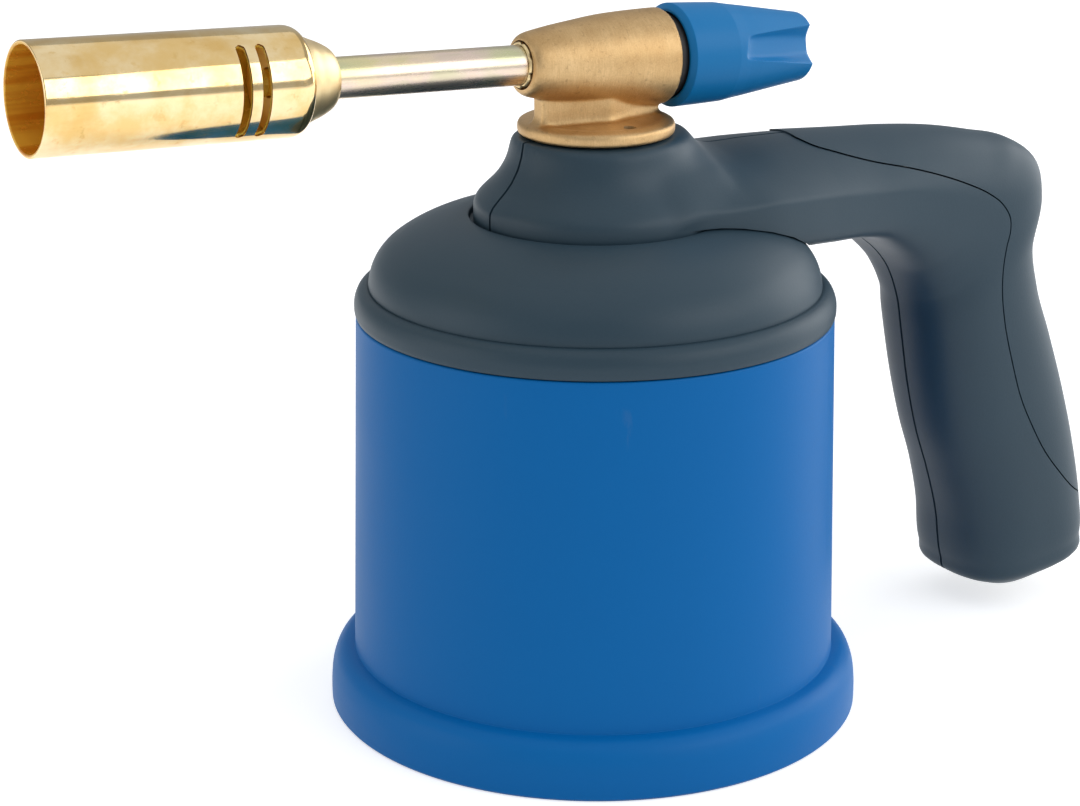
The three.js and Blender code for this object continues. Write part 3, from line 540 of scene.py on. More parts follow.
def turned(name, profile, sides=roundSides):
    # A profile of radius and height carried round the vertical axis: radius times cosine and sine.
    profile = np.asarray(profile, float)
    turn = fullTurn(sides)
    radius, height = profile[:, :1], profile[:, 1:2]
    points = np.stack([radius * np.cos(turn), radius * np.sin(turn), height + 0 * turn], axis=-1)
    return closedMesh(name, points, gridFaces(len(profile), sides), True)


def alongBurner(points):
    # Places given along, across and above the burner's line, taken to the frame.
    points = np.asarray(points, float)
    return (axisOrigin + points[..., :1] * axisBack + points[..., 1:2] * np.array([0, 1, 0])
            + points[..., 2:] * axisUp)


def turnedAlong(name, profile, sides=roundSides, radial=None):
    # A profile of place and radius carried round the burner's line; radial may change the radius
    # by place and turn.
    profile = np.asarray(profile, float)
    turn = fullTurn(sides)
    place, radius = profile[:, :1] + 0 * turn, profile[:, 1:2] + 0 * turn
    if radial:
        radius = radial(place, radius, turn + 0 * place)
    points = np.stack([place, radius * np.cos(turn), radius * np.sin(turn)], axis=-1)
    return closedMesh(name, alongBurner(points), gridFaces(len(profile), sides), True)


def closed(profile):
    return np.vstack([profile, profile[:1]])


def smoothPlaces(line, longest):
    # The same line with long runs divided, so that no run is longer than longest.
    runs = np.linalg.norm(np.diff(line, axis=0), axis=1)
    parts = [np.linspace(a, b, max(int(run / longest), 1), endpoint=False)
             for a, b, run in zip(line[:-1], line[1:], runs)]
    return np.vstack(parts + [line[-1:]])


def rod(radius, low, high):
    return [(0, low), (radius, low), (radius, high), (0, high)]


def rodAlong(radius, front, back):
    return [(front, 0), (front, radius), (back, radius), (back, 0)]


# Cup with its flared foot

cup = {
    "footRound": [(55.66, 0.6), (55.68, 2.2), (55.6, 4.8), (55.1, 8.2), (54.1, 10.4), (52.7, 11.6),
                  (50.9, 12.1)],
    "footWall": 50.6, "wallTop": 49.0, "rim": 84.1, "inner": 46.5, "innerFoot": 48.1, "floor": 5.3,
    "boss": 14, "recess": 2.5, "channelTop": 9.6, "channelOut": 53.3, "channelSlope": (2.4, 6),
    "footEdge": 55.2,
}


def baseCup():
    # One closed profile, foot round first, then the wall and the floor, carried round the axis.
    c = cup
    inward, slopeLow = c["channelSlope"]
    foot = smoothLine(c["footRound"], 28)
    under = filleted([(0, 0), (c["boss"], 0, 0.4), (c["boss"], c["recess"], 0.4),
                      (c["footWall"], c["recess"], 0.6), (c["footWall"], c["channelTop"], 0.5),
                      (c["channelOut"] - inward, c["channelTop"], 0.6),
                      (c["channelOut"], slopeLow, 1), (c["channelOut"], 0, 0.4),
                      (c["footEdge"], 0, 0.6), tuple(foot[0])])
    wall = filleted([tuple(foot[-1]), (c["footWall"], c["footRound"][-1][1], 0.4),
                     (c["wallTop"], c["rim"], 0.5), (c["inner"], c["rim"], 0.4),
                     (c["innerFoot"], c["floor"], 2), (0, c["floor"])])
    profile = np.vstack([under, foot[1:-1], wall])
    fitted("base_cup_moulded", turned("base_cup_moulded", profile), "base", "blue_plastic",
           ["base_cup"])


baseCup()
print("cup made")


# Lid: lip, crease, dome and the well that the collar sits in

lid = {
    "lip": [(48.98, 84.4), (49.22, 85.0), (49.3, 86.0), (49.25, 87.0), (48.95, 88.1), (48.4, 89.1),
            (47.6, 89.75), (46.75, 90.1)],
    "crease": (46.3, 90.0),
    "dome": [(46.32, 90.6), (46.05, 92.2), (45.2, 94.6), (43.2, 97.4), (40, 99.85), (36, 101.95),
             (31, 103.7), (28, 104.45), (26.5, 104.68)],
    "rim": (25.7, 104.7), "well": 103.2, "spigot": 46.2, "spigotLow": 74.5, "spigotWall": 1.3,
    "inner": [(44.9, 88), (43.6, 92.6), (40.5, 96), (35.5, 99.1), (27, 101)], "boss": (17.5, 14.9),
    "bossLow": 97.6, "bossTop": 103.5,
}


def lidDome():
    # Lip, crease, dome, well and boss outside, then spigot and inner wall, as one turned profile.
    c = lid
    lip = smoothLine(c["lip"], 26)
    dome = smoothLine(c["dome"], 60)
    innerWall = smoothLine(c["inner"], 24)
    outer, bore = c["boss"]
    spigotIn = c["spigot"] - c["spigotWall"]
    start = filleted([(bore, c["bossLow"]), (bore, c["bossTop"], 0.3), (outer, c["bossTop"], 0.3),
                      (outer, c["well"], 0.3), (c["rim"][0], c["well"], 0.3), (*c["rim"], 0.5),
                      tuple(dome[-1])])
    below = filleted([tuple(lip[0]), (c["spigot"], lip[0][1], 0.3), (c["spigot"], c["spigotLow"], 0.3),
                      (spigotIn, c["spigotLow"], 0.3), tuple(innerWall[0])])
    under = filleted([tuple(innerWall[-1]), (outer, innerWall[-1][1], 0.5), (outer, c["bossLow"], 0.3),
                      (bore, c["bossLow"])])
    profile = np.vstack([start, dome[::-1][1:], [c["crease"]], lip[::-1], below[1:], innerWall[1:],
                         under[1:]])
    fitted("lid_dome_moulded", turned("lid_dome_moulded", profile), "lid", "slate_plastic",
           ["lid_dome"], sharpest=50)


lidDome()
print("lid made")


# Handle: a collar round the valve body, running on into the arm and the grip

handle = {
    "reach": 130.5, "height": 110.3, "armTop": 117.1, "halfWidth": 24.8,
    "bottom": 103.6, "top": 121.1, "under": 92, "wall": 2.4, "seam": 0.66, "edgeRounds": 3,
    "flankFold": 1.6, "topFold": 10, "foldRise": (105, 114),
    "bell": [(24.8, 103.6), (24.8, 106.7), (24.62, 107.7), (24.0, 108.75), (22.8, 110.0),
             (21.2, 111.5), (19.75, 113.2), (18.4, 115.5), (17.5, 118.1), (17.1, 121.1)],
    # the lid with its play, as radius and height, which the handle clears
    "clear": [(25.3, 105.2), (28.1, 104.9), (31.2, 104.1), (36.2, 102.3), (40.3, 100.2),
              (43.5, 97.6), (45.6, 94.7), (46.8, 90.6), (48.2, 89.8), (49.4, 88.1), (49.8, 84)],
    # outer x, outer drop, inner x, inner drop, half width and crease as shares
    "stationShares": [
        [-0.150, 0.100, -0.150, 0.150, 0.50, 0.62],
        [-0.070, 0.075, -0.070, 0.182, 0.86, 0.62],
        [0.000, 0.055, 0.000, 0.182, 0.95, 0.60],
        [0.050, 0.010, 0.050, 0.182, 0.975, 0.56],
        [0.100, -0.010, 0.100, 0.182, 0.98, 0.52],
        [0.140, -0.012, 0.140, 0.182, 0.98, 0.51],
        [0.165, -0.001, 0.169, 0.182, 0.98, 0.545],
        [0.199, 0.007, 0.215, 0.184, 0.97, 0.58],
        [0.276, 0.008, 0.284, 0.191, 0.91, 0.563],
        [0.368, 0.011, 0.360, 0.198, 0.82, 0.54],
        [0.475, 0.018, 0.429, 0.205, 0.74, 0.5],
        [0.575, 0.026, 0.483, 0.218, 0.69, 0.5],
        [0.670, 0.040, 0.525, 0.247, 0.66, 0.5],
        [0.747, 0.059, 0.556, 0.278, 0.645, 0.5],
        [0.811, 0.078, 0.578, 0.311, 0.635, 0.5],
        [0.855, 0.113, 0.592, 0.345, 0.63, 0.5],
        [0.862, 0.174, 0.603, 0.383, 0.63, 0.5],
        [0.845, 0.273, 0.611, 0.431, 0.63, 0.5],
        [0.860, 0.364, 0.618, 0.477, 0.63, 0.5],
        [0.896, 0.474, 0.632, 0.563, 0.63, 0.5],
        [0.935, 0.600, 0.655, 0.667, 0.63, 0.5],
        [0.966, 0.727, 0.684, 0.762, 0.64, 0.5],
        [0.985, 0.853, 0.708, 0.859, 0.655, 0.5],
        [0.986, 0.925, 0.724, 0.962, 0.66, 0.5],
        [0.979, 0.960, 0.737, 0.996, 0.63, 0.5],
        [0.935, 0.984, 0.775, 1.014, 0.50, 0.5],
    ],
    # station number, the arch's powers up and across, the flanks' power
    "powers": [(0, 1.12, 1.75, 6), (6, 1.1, 1.75, 7), (9, 1.15, 1.8, 7), (11, 1.35, 1.9, 5.5),
               (14, 1.9, 2.1, 3.2), (16, 2.5, 2.5, 2.5), (21, 2.5, 2.5, 2.5), (25, 3, 3, 3)],
    "coverShares": [
        [0.357, 0.012], [0.367, 0.020], [0.399, 0.034], [0.463, 0.058], [0.534, 0.079],
        [0.594, 0.101], [0.649, 0.126], [0.693, 0.151], [0.724, 0.178], [0.741, 0.210],
        [0.742, 0.235], [0.736, 0.263], [0.731, 0.303], [0.731, 0.354], [0.738, 0.409],
        [0.762, 0.510], [0.787, 0.592], [0.813, 0.651], [0.845, 0.713], [0.885, 0.769],
        [0.920, 0.809], [0.960, 0.840],
    ],
    "coverProud": 0.35, "coverFade": 9, "coverGap": 0.32,
    "screwShares": [(0.37, 0.1), (0.69, 0.5), (0.8, 0.85)],
    "screwHead": 2.7, "screwRound": 1.3, "screwSeat": 6.5, "screwTop": 8.3, "screwEnd": -7.5,
    "screwPlay": 0.3, "bossWall": 1.6, "crossLong": 3.5, "crossWide": 0.75, "crossDeep": 1.0,
    "bore": 8.3, "plate": 3.7,
    # rows and columns of the outer and inner skins, and how far the rays look, in how many steps
    "skinGrid": (300, 160), "hollowGrid": (150, 64), "rayReach": 38, "raySteps": 260,
    "rayWide": (0.8, 2.2), "bellFade": 14, "noseFall": 20, "firstRow": 0.04, "endInset": 1.6,
    # how far the tools reach past the handle: bore, lid's room, sides, cover's top, back and end
    "boreBeyond": 4, "lidRoomDeep": 14, "sideBeyond": 6, "coverBeyond": (12, 14, 3),
}


def sidePoint(xShare, dropShare):
    return np.stack([handle["reach"] * np.asarray(xShare, float),
                     handle["armTop"] - handle["height"] * np.asarray(dropShare, float)], axis=-1)


def smoothLess(a, b, fold):
    # The lesser of two fields, with the corner between them rounded over a fold's width.
    share = np.clip(0.5 + 0.5 * (b - a) / fold, 0, 1)
    return b * (1 - share) + a * share - fold * share * (1 - share)


def bellField(x, y, z, low, top):
    # Distance outside a body of revolution that ends between two heights.
    radius, height = np.array(handle["bell"]).T
    side = np.hypot(x, y) - np.interp(z, height, radius)
    return np.maximum(np.maximum(side, z - top), low - z)


def handleSkin(rows, columns, inset=0.0, proud=0.0):
    # Rays leave a spine in the plane of each cross-section. Each stops where the joined field of
    # collar and arm is inset deep. A cross-section is a superellipse: a power of the share up and a
    # power of the share across add up to one, with other powers above the crease than below. Each
    # round of softening then moves a point to the mean of itself and its two neighbours' middle.
    h = handle
    shares = np.array(h["stationShares"])
    outerSide = sidePoint(shares[:, 0], shares[:, 1])
    innerSide = sidePoint(shares[:, 2], shares[:, 3])
    middle = (outerSide + innerSide) / 2
    knots = np.concatenate([[0], np.cumsum(np.linalg.norm(np.diff(middle, axis=0), axis=1))])
    frontRows = rows // 5
    lead = np.linspace(h["firstRow"], 1, frontRows, endpoint=False) * math.pi / 2
    firstX = -h["bell"][0][0] + inset
    frontX = firstX * np.cos(lead)
    s0 = knots[np.argmin(np.abs(shares[:, 0]))]
    sRest = np.linspace(s0, knots[-1] - h["endInset"] * inset, rows - frontRows)
    s = np.concatenate([s0 + frontX, sRest])
    isFront = np.arange(rows) < frontRows
    table = smoothThrough(knots, np.hstack([outerSide, innerSide, shares[:, 4:6]]), s)
    numbers = np.interp(s, knots, np.arange(len(knots)))
    powerTable = np.array(h["powers"])
    upPower, acrossPower, flankPower = (np.interp(numbers, powerTable[:, 0], powerTable[:, k])
                                        for k in (1, 2, 3))
    outer, inner = table[:, 0:2].copy(), table[:, 2:4].copy()
    outer[isFront, 0] = inner[isFront, 0] = frontX
    across = outer - inner
    depth = np.linalg.norm(across, axis=1)
    across /= depth[:, None]
    crease = inner + (outer - inner) * table[:, 5:6]
    half = table[:, 4] * h["halfWidth"]

    # The rays' own centres: midway up the bell at its front, the crease farther on.
    low = h["under"] - 3 * inset
    top = h["top"] - (h["plate"] - inset if inset else 0)
    radius, height = np.array(h["bell"]).T
    tallest = np.interp(-np.abs(crease[:, 0]) - inset, -radius, height)
    fromBell = np.clip(crease[:, 0] / h["bellFade"], 0, 1)
    fromBell = fromBell ** 2 * (3 - 2 * fromBell)
    bellMiddle = (low + inset + np.minimum(tallest, top - inset)) / 2
    centre = crease.copy()
    centre[:, 1] = crease[:, 1] * fromBell + bellMiddle * (1 - fromBell)

    turn = fullTurn(columns)
    wide = np.clip(half / (depth / 2), *h["rayWide"])[:, None]
    upward, side = np.cos(turn) + 0 * wide, np.sin(turn) * wide
    length = np.hypot(upward, side)
    upward, side = upward / length, side / length
    reach = np.linspace(0, h["rayReach"], h["raySteps"])
    steps = reach[None, None, :]
    x = centre[:, 0, None, None] + across[:, 0, None, None] * upward[..., None] * steps
    z = centre[:, 1, None, None] + across[:, 1, None, None] * upward[..., None] * steps
    y = side[..., None] * steps

    u = ((x - crease[:, 0, None, None]) * across[:, 0, None, None]
         + (z - crease[:, 1, None, None]) * across[:, 1, None, None])
    upper = u >= 0
    arch = (depth * (1 - table[:, 5]))[:, None, None]
    flank = (depth * table[:, 5])[:, None, None]
    powerUp = np.where(upper, upPower[:, None, None], flankPower[:, None, None])
    powerAcross = np.where(upper, acrossPower[:, None, None], flankPower[:, None, None])
    shareUp = (np.abs(u) / np.where(upper, arch, flank)) ** powerUp + 1e-9
    shareAcross = (np.abs(y) / half[:, None, None]) ** powerAcross + 1e-9
    both = shareUp + shareAcross
    arm = np.hypot(u, y) * (1 - both ** (-both / (powerUp * shareUp + powerAcross * shareAcross)))
    arm = arm + np.minimum(x, 0) ** 2 / h["noseFall"]
    rise = np.clip((z - h["foldRise"][0]) / (h["foldRise"][1] - h["foldRise"][0]), 0, 1)
    fold = h["flankFold"] + (h["topFold"] - h["flankFold"]) * rise * rise * (3 - 2 * rise)
    field = np.maximum(smoothLess(arm, bellField(x, y, z, low, top), fold), z - top) + inset
    inside = field < 0
    last = len(reach) - 1 - np.argmax(inside[..., ::-1], axis=-1)
    last = np.clip(last, 0, len(reach) - 2)
    f0 = np.take_along_axis(field, last[..., None], -1)[..., 0]
    f1 = np.take_along_axis(field, last[..., None] + 1, -1)[..., 0]
    share = np.clip(f0 / np.where(f0 == f1, 1, f0 - f1), 0, 1)
    distance = np.where(inside.any(axis=-1), reach[last] + share * (reach[1] - reach[0]), 0)
    distance = np.maximum(distance, 0.02)
    if proud:
        coverFront = h["coverShares"][0][0] * h["reach"]
        pastFront = np.clip(centre[:, :1] - coverFront, 0, None)
        distance = distance + proud * np.exp(-pastFront / h["coverFade"])
    points = np.stack([centre[:, :1] + across[:, :1] * upward * distance, side * distance,
                       centre[:, 1:] + across[:, 1:] * upward * distance], axis=-1)
    for _ in range(h["edgeRounds"]):
        points = (np.roll(points, 1, axis=1) + 2 * points + np.roll(points, -1, axis=1)) / 4
    ends = points.mean(axis=1)[[0, -1]]
    whole = np.concatenate([points.reshape(-1, 3), ends])
    faces = gridFaces(rows, columns)
    beside = [(k, (k + 1) % columns) for k in range(columns)]
    start = (rows - 1) * columns
    faces += [(rows * columns, b, a) for a, b in beside]
    faces += [(rows * columns + 1, start + a, start + b) for a, b in beside]
    return whole, faces


def acrossPrism(name, outline, halfWidth):
    # A side-view outline of x and z pulled across the handle.
    outline = np.asarray(outline, float)
    count = len(outline)
    y = np.repeat([-halfWidth, halfWidth], count)
    points = np.stack([np.tile(outline[:, 0], 2), y, np.tile(outline[:, 1], 2)], axis=-1)
    around = [(k, (k + 1) % count) for k in range(count)]
    faces = [tuple(range(count)), tuple(range(2 * count - 1, count - 1, -1))]
    faces += [(a, b, b + count, a + count) for a, b in around]
    return closedMesh(name, points, faces)


def pinAcross(name, radius, place, low, high, sides=48):
    # A cylinder across the handle between two values of y.
    turn = fullTurn(sides)
    outline = np.array(place) + radius * np.stack([np.cos(turn), np.sin(turn)], axis=-1)
    return moved(acrossPrism(name, outline, (high - low) / 2), (0, (high + low) / 2, 0))


def coverOutline(grow):
    # The cover's edge as a smooth line, moved outwards by grow and closed beyond the handle.
    line = smoothLine(sidePoint(*np.array(handle["coverShares"]).T), 120)
    along = np.gradient(line, axis=0)
    normal = np.stack([along[:, 1], -along[:, 0]], axis=-1)
    line = line + grow * normal / np.linalg.norm(normal, axis=1)[:, None]
    over, back, below = handle["coverBeyond"]
    top, far, low = handle["armTop"] + over, handle["reach"] + back, line[-1, 1] - below
    return np.vstack([[line[0, 0], top], line, [far, low], [far, top]])


def halved(mesh, side, gap):
    # The part of a closed mesh on one side of the middle plane, its cut face filled.
    form = bmesh.new()
    form.from_mesh(mesh)
    bmesh.ops.bisect_plane(form, geom=form.verts[:] + form.edges[:] + form.faces[:], dist=1e-9,
                           plane_co=(0, gap * mm * side, 0), plane_no=(0, side, 0), clear_inner=True)
    rim = [edge for edge in form.edges if edge.is_boundary]
    bmesh.ops.triangle_fill(form, use_beauty=True, edges=rim)
    bmesh.ops.recalc_face_normals(form, faces=form.faces)
    half = bpy.data.meshes.new("half")
    form.to_mesh(half)
    form.free()
    return half


def crossScrew(place):
    # A shank, and a domed head that is an arc of a circle in section, with a cross cut into it.
    h = handle
    rise = np.linspace(0, 1, 9)
    edge = h["screwTop"] - h["screwPlay"] * 2
    dome = np.stack([h["screwHead"] * np.cos(rise * math.pi / 2),
                     edge + (h["screwTop"] - edge) * np.sin(rise * math.pi / 2)], axis=-1)
    profile = np.vstack([filleted([
        (0, h["screwEnd"]), (h["screwRound"], h["screwEnd"], 0.4), (h["screwRound"], h["screwSeat"]),
        (h["screwHead"], h["screwSeat"], 0.2), tuple(dome[0])]), dome[1:]])
    screw = turned("screw", profile, 48)
    screw.transform(Matrix.Rotation(-math.pi / 2, 4, "X"))
    moved(screw, (place[0], 0, place[1]))
    long, wide, deep = (h[key] / 2 for key in ("crossLong", "crossWide", "crossDeep"))
    top = h["screwTop"] + deep
    slots = [np.array([(-x, -z), (x, -z), (x, z), (-x, z)]) + place
             for x, z in ((long, wide), (wide, long))]
    return carved(screw, *[moved(acrossPrism("slot", slot, 2 * deep), (0, top - deep / 2, 0))
                           for slot in slots])


def handlePieces():
    # Outer skin less the hollow, with the screws' bosses joined on and the lid's room, the bore and
    # the cover's place cut out; the middle plane then parts it into two shells.
    h = handle
    body = closedMesh("handle", *handleSkin(*h["skinGrid"]))
    proudBody = closedMesh("handle cover", *handleSkin(*h["skinGrid"], proud=h["coverProud"]))
    hollow = closedMesh("hollow", *handleSkin(*h["hollowGrid"], inset=h["wall"]))
    print("  handle skins worked out")
    past = h["boreBeyond"]
    bore = turned("bore", rod(h["bore"], h["bottom"] - past, h["top"] + past), 96)
    floor = h["under"] - h["lidRoomDeep"]
    clear = [(0, floor), (h["clear"][-1][0], floor)] + h["clear"][::-1]
    lidRoom = turned("lid room", clear + [(h["clear"][0][0], h["bottom"]), (0, h["bottom"])], 160)
    wide = h["halfWidth"] + h["sideBeyond"]
    cover = carved(proudBody, hollow.copy(), lidRoom.copy(),
                   ("INTERSECT", acrossPrism("block", coverOutline(0), wide)))
    fitted("handle_back_cover_moulded", cover, "head", "slate_plastic", ["handle_back_cover"])
    places = [sidePoint(*share) for share in h["screwShares"]]
    shankHole, headHole = h["screwRound"] + h["screwPlay"], h["screwHead"] + h["screwPlay"]
    bosses = together("bosses", *[
        pinAcross("boss", radius + h["bossWall"], place, low, wide)
        for place in places for radius, low in ((shankHole, -wide), (headHole, h["screwSeat"] / 2))])
    midWall = closedMesh("mid wall", *handleSkin(*h["hollowGrid"], inset=h["wall"] / 2))
    bosses = carved(bosses, ("INTERSECT", midWall))
    tools = [hollow, ("UNION", bosses), bore, lidRoom,
             acrossPrism("block", coverOutline(h["coverGap"]), wide)]
    seat, play = h["screwSeat"], h["screwPlay"]
    for place in places:
        tools.append(pinAcross("recess", headHole, place, seat - play, wide))
        tools.append(pinAcross("shank hole", shankHole, place, h["screwEnd"] - play, seat, 32))
    shells = carved(body, *tools)
    print("  handle shells cut")
    for side, name in ((-1, "left"), (1, "right")):
        fitted(f"handle_{name}_shell_moulded", halved(shells, side, h["seam"] / 2), "head",
               "slate_plastic", [f"handle_{name}_shell"])
    for k, place in enumerate(places):
        fitted(f"handle_screw_{k + 1}_cross", crossScrew(place), "head", "steel",
               [f"handle_screw_{k + 1}"])


handlePieces()
print("handle made")


# Valve body: flange, pointed pedestal and barrel

valve = {
    "flange": 15.9, "flangeLow": 121.4, "flangeTop": 124.5, "flangeEdge": 0.55, "flangeRound": 1.0,
    "crown": 0.45,
    "spigot": 8, "spigotLow": 106.5, "pedestalTop": 136,
    "pedestalLong": 13.6, "pedestalEnd": 1.9, "pedestalWide": 6.3, "ridgeRound": 3,
    "barrelFront": -17.6, "barrelBack": 14.5,
    "barrel": [(-17.6, 5.1), (-17.5, 5.5), (-17.1, 5.95), (-16.4, 6.3), (-15.3, 6.58), (-13.4, 6.95),
               (-10.8, 7.42), (-5.2, 8.25), (0.3, 9.0), (5.9, 9.42), (11.3, 9.66), (13.7, 9.74)],
    "barrelBackRadius": 9.8, "barrelBackRound": 0.45, "mouth": 4.88, "mouthBack": -15.2,
    "pinHole": 1.3, "pinHolePlace": (0.8, -11.4), "pinHoleDeep": 3.4, "voxel": 0.36, "relax": 6,
    "riser": 1.5, "riserPlace": 3,
    # the pedestal's fillet: height over the flange's top, and how much wider
    "pedestalFoot": [(-2.1, 0.9), (-0.3, 0.85), (0.25, 0.45), (0.8, 0.16), (1.6, 0)],
    # the flange's dished face: in from the edge, over its top, fillet
    "flangeFace": [(2.6, -0.02, 0.6), (3.6, -0.3, 1.2), (8.9, 0.1, 2)],
    "tubeSocket": (4.35, -18.5, -7.4),
    # gas way, needle chamber and gland bore: radius, front, back
    "bores": [(1.3, -16, 0), (3.2, -1.5, 5.1), (5.6, 4.6, 16)],
}


def valveBody():
    # Turned barrel, pointed pedestal and turned flange, grown together, with the gas ways cut in.
    v = valve
    gland, glandFront = v["bores"][2][:2]
    line = smoothLine(v["barrel"], 40)
    ring = filleted([tuple(line[-1]), (v["barrelBack"], v["barrelBackRadius"], v["barrelBackRound"]),
                     (v["barrelBack"], gland), (glandFront, gland), (glandFront, 0)])
    barrel = turnedAlong("barrel", np.vstack([[(v["barrelFront"], 0)], line, ring[1:]]))
    long, end, across, ridge = (v[key] for key in ("pedestalLong", "pedestalEnd", "pedestalWide",
                                                   "ridgeRound"))
    outline = filleted([(long, 0), (long, end, 0.5), (0, across, ridge), (-long, end, 0.5),
                        (-long, -end, 0.5), (0, -across, ridge), (long, -end, 0.5), (long, 0)])[:-1]
    over, grow = np.array(v["pedestalFoot"] + [(v["pedestalTop"] - v["flangeTop"], 0)]).T
    levels = v["flangeTop"] + over
    scale = 1 + grow[:, None] / np.linalg.norm(outline, axis=1)
    side = np.stack([outline[:, 0] * scale, outline[:, 1] * scale,
                     levels[:, None] + 0 * outline[:, 0]], axis=-1)
    count = len(outline)
    faces = gridFaces(len(levels), count)
    last = (len(levels) - 1) * count
    faces += [list(range(count)), list(range(last + count - 1, last - 1, -1))]
    pedestal = closedMesh("pedestal", side.reshape(-1, 3), faces)
    edge, top = v["flange"], v["flangeTop"]
    face = [(edge - inward, top + rise, fillet) for inward, rise, fillet in v["flangeFace"]]
    flange = turned("flange", filleted([
        (0, v["spigotLow"]), (v["spigot"], v["spigotLow"], 0.5), (v["spigot"], v["flangeLow"], 0.3),
        (edge, v["flangeLow"], 0.8), (edge, top - v["flangeEdge"], v["flangeRound"])] + face
        + [(0, top + v["crown"])]))
    whole = fused(together("valve_body", barrel, pedestal, flange), v["voxel"], v["relax"])
    holeX, holeY = v["pinHolePlace"]
    hole = moved(turned("hole", rod(v["pinHole"], top - v["pinHoleDeep"], top + 2), 40),
                 (holeX, holeY, 0))
    socket = turnedAlong("socket", rodAlong(*v["tubeSocket"]), 96)
    mouth = turnedAlong("mouth", rodAlong(v["mouth"], v["barrelFront"] - 1, v["mouthBack"]), 96)
    riser = moved(turned("riser", rod(v["riser"], v["spigotLow"] - 1, v["pedestalTop"]), 32),
                  (v["riserPlace"], 0, 0))
    bores = [turnedAlong("bore", rodAlong(*bore), 96) for bore in v["bores"]]
    whole = carved(whole, hole, socket, mouth, riser, *bores)
    fitted("valve_body_cast", whole, "head", "cast_brass", ["valve_body"], sharpest=60)


valveBody()
print("valve body made")


# Knob: a round blank with a bevelled rim, a knee and three flutes that run out at the end

knob = {
    "front": 16.4, "end": 49.3,
    "outline": [(16.4, 9.3, 0.3), (17.3, 10.5, 0.25), (19.9, 10.42, 5), (24.2, 10.26, 8),
                (28.2, 10.08, 3), (30, 9.8, 3), (31.3, 9.6, 3), (34.2, 9.22, 6), (42.7, 7.98, 6),
                (48.8, 7.12, 0.7), (49.3, 6.3, 0.4)],
    "recess": 8.9, "recessEnd": 20.9, "bore": 3.3, "boreEnd": 40.3, "screwWay": 1.4,
    "counterbore": 2.5, "counterEnd": 43.2,
    "flutes": 3, "firstFlute": 13, "fluteFloor": 3.3, "fluteRise": 16.1, "fluteLength": 20.4,
    "fluteWide": 4.55, "fluteTaper": 0.075, "fluteWall": 6, "wallPower": 8, "endPower": 30,
    "hollow": 0.008, "softEdge": 0.22, "fluteSlant": 0.26, "fluteRoom": 6, "endRim": 0.5,
    "endRings": 14, "longestStep": 0.24,
}


def fluted(place, radius, turn):
    # A flute's floor rises steadily from the knob's end. High powers of the share of the half width
    # and of the length add its steep walls, and the lesser of it and the blank is kept. The length
    # grows a little across the flute, so that its inner end slants.
    k = knob
    step = 2 * math.pi / k["flutes"]
    first = math.pi - k["firstFlute"] * degree
    off = (turn - first + step / 2) % step - step / 2
    fromEnd = k["end"] - place
    across = radius * np.sin(off)
    half = k["fluteWide"] - k["fluteTaper"] * fromEnd
    length = k["fluteLength"] + k["fluteSlant"] * np.clip(across, -half, half)
    walls = np.abs(across / half) ** k["wallPower"] + (fromEnd / length) ** k["endPower"]
    floor = k["fluteFloor"] + fromEnd * math.tan(k["fluteRise"] * degree) + k["hollow"] * across ** 2
    cut = smoothLess(radius, (floor + k["fluteWall"] * walls) / np.cos(off), k["softEdge"])
    cuttable = (radius > k["counterbore"] + k["endRim"]) & (place > k["front"] + k["fluteRoom"])
    return np.where(cuttable, np.minimum(cut, radius), radius)


def knobPiece():
    # The outline in short steps, the end face and the bore, as one profile cut by the flutes.
    k = knob
    shell = filleted([(k["front"], k["recess"], 0.3)] + k["outline"], 6)
    blank = smoothPlaces(shell, k["longestStep"])
    inner = filleted([tuple(blank[-1]), (k["end"], k["counterbore"], 0.3),
                      (k["counterEnd"], k["counterbore"], 0.2), (k["counterEnd"], k["screwWay"], 0.1),
                      (k["boreEnd"], k["screwWay"], 0.1), (k["boreEnd"], k["bore"], 0.2),
                      (k["recessEnd"], k["bore"], 0.2), (k["recessEnd"], k["recess"], 0.3),
                      (k["front"], k["recess"])])
    rings = np.linspace(blank[-1][1], k["counterbore"] + k["endRim"], k["endRings"])
    endFace = np.stack([k["end"] + 0 * rings, rings], axis=-1)
    profile = closed(np.vstack([blank, endFace[1:], inner[1:]]))
    mesh = turnedAlong("knob_moulded", profile, 360, fluted)
    fitted("knob_moulded", mesh, "tap", "knob_plastic", ["knob"], sharpest=38)


knobPiece()
print("knob made")


# Gland in the gap between barrel and knob, gas tube and its crimped ferrule

burnerLine = {
    "tube": 4.0, "tubeBore": 3.0, "tubeFront": -67.0, "tubeBack": -7.7,
    "ferrule": [(-18.15, 4.08), (-18.15, 4.36, 0.15), (-17.8, 4.58, 0.2), (-15.5, 4.58, 0.2),
                (-15.5, 4.08)],
    "crimps": 7, "crimpDeep": 0.34, "crimpSharp": 5, "crimpTurn": 0.9, "crimpFrom": 0.1,
    "crimpFull": 0.35,
    "gland": [(11.3, 3.3), (11.3, 5.3, 0.3), (14.8, 5.3, 0.1), (14.8, 8.4, 0.4), (17.2, 8.4, 0.4),
              (17.2, 3.3)],
}


def crimped(place, radius, turn):
    # Dents round the ferrule's outside: a high power of a raised cosine of the turn.
    b = burnerLine
    dent = (0.5 + 0.5 * np.cos(b["crimps"] * turn + b["crimpTurn"])) ** b["crimpSharp"]
    outside = np.clip((radius - b["tube"] - b["crimpFrom"]) / (b["crimpFull"] - b["crimpFrom"]), 0, 1)
    return radius - b["crimpDeep"] * dent * outside


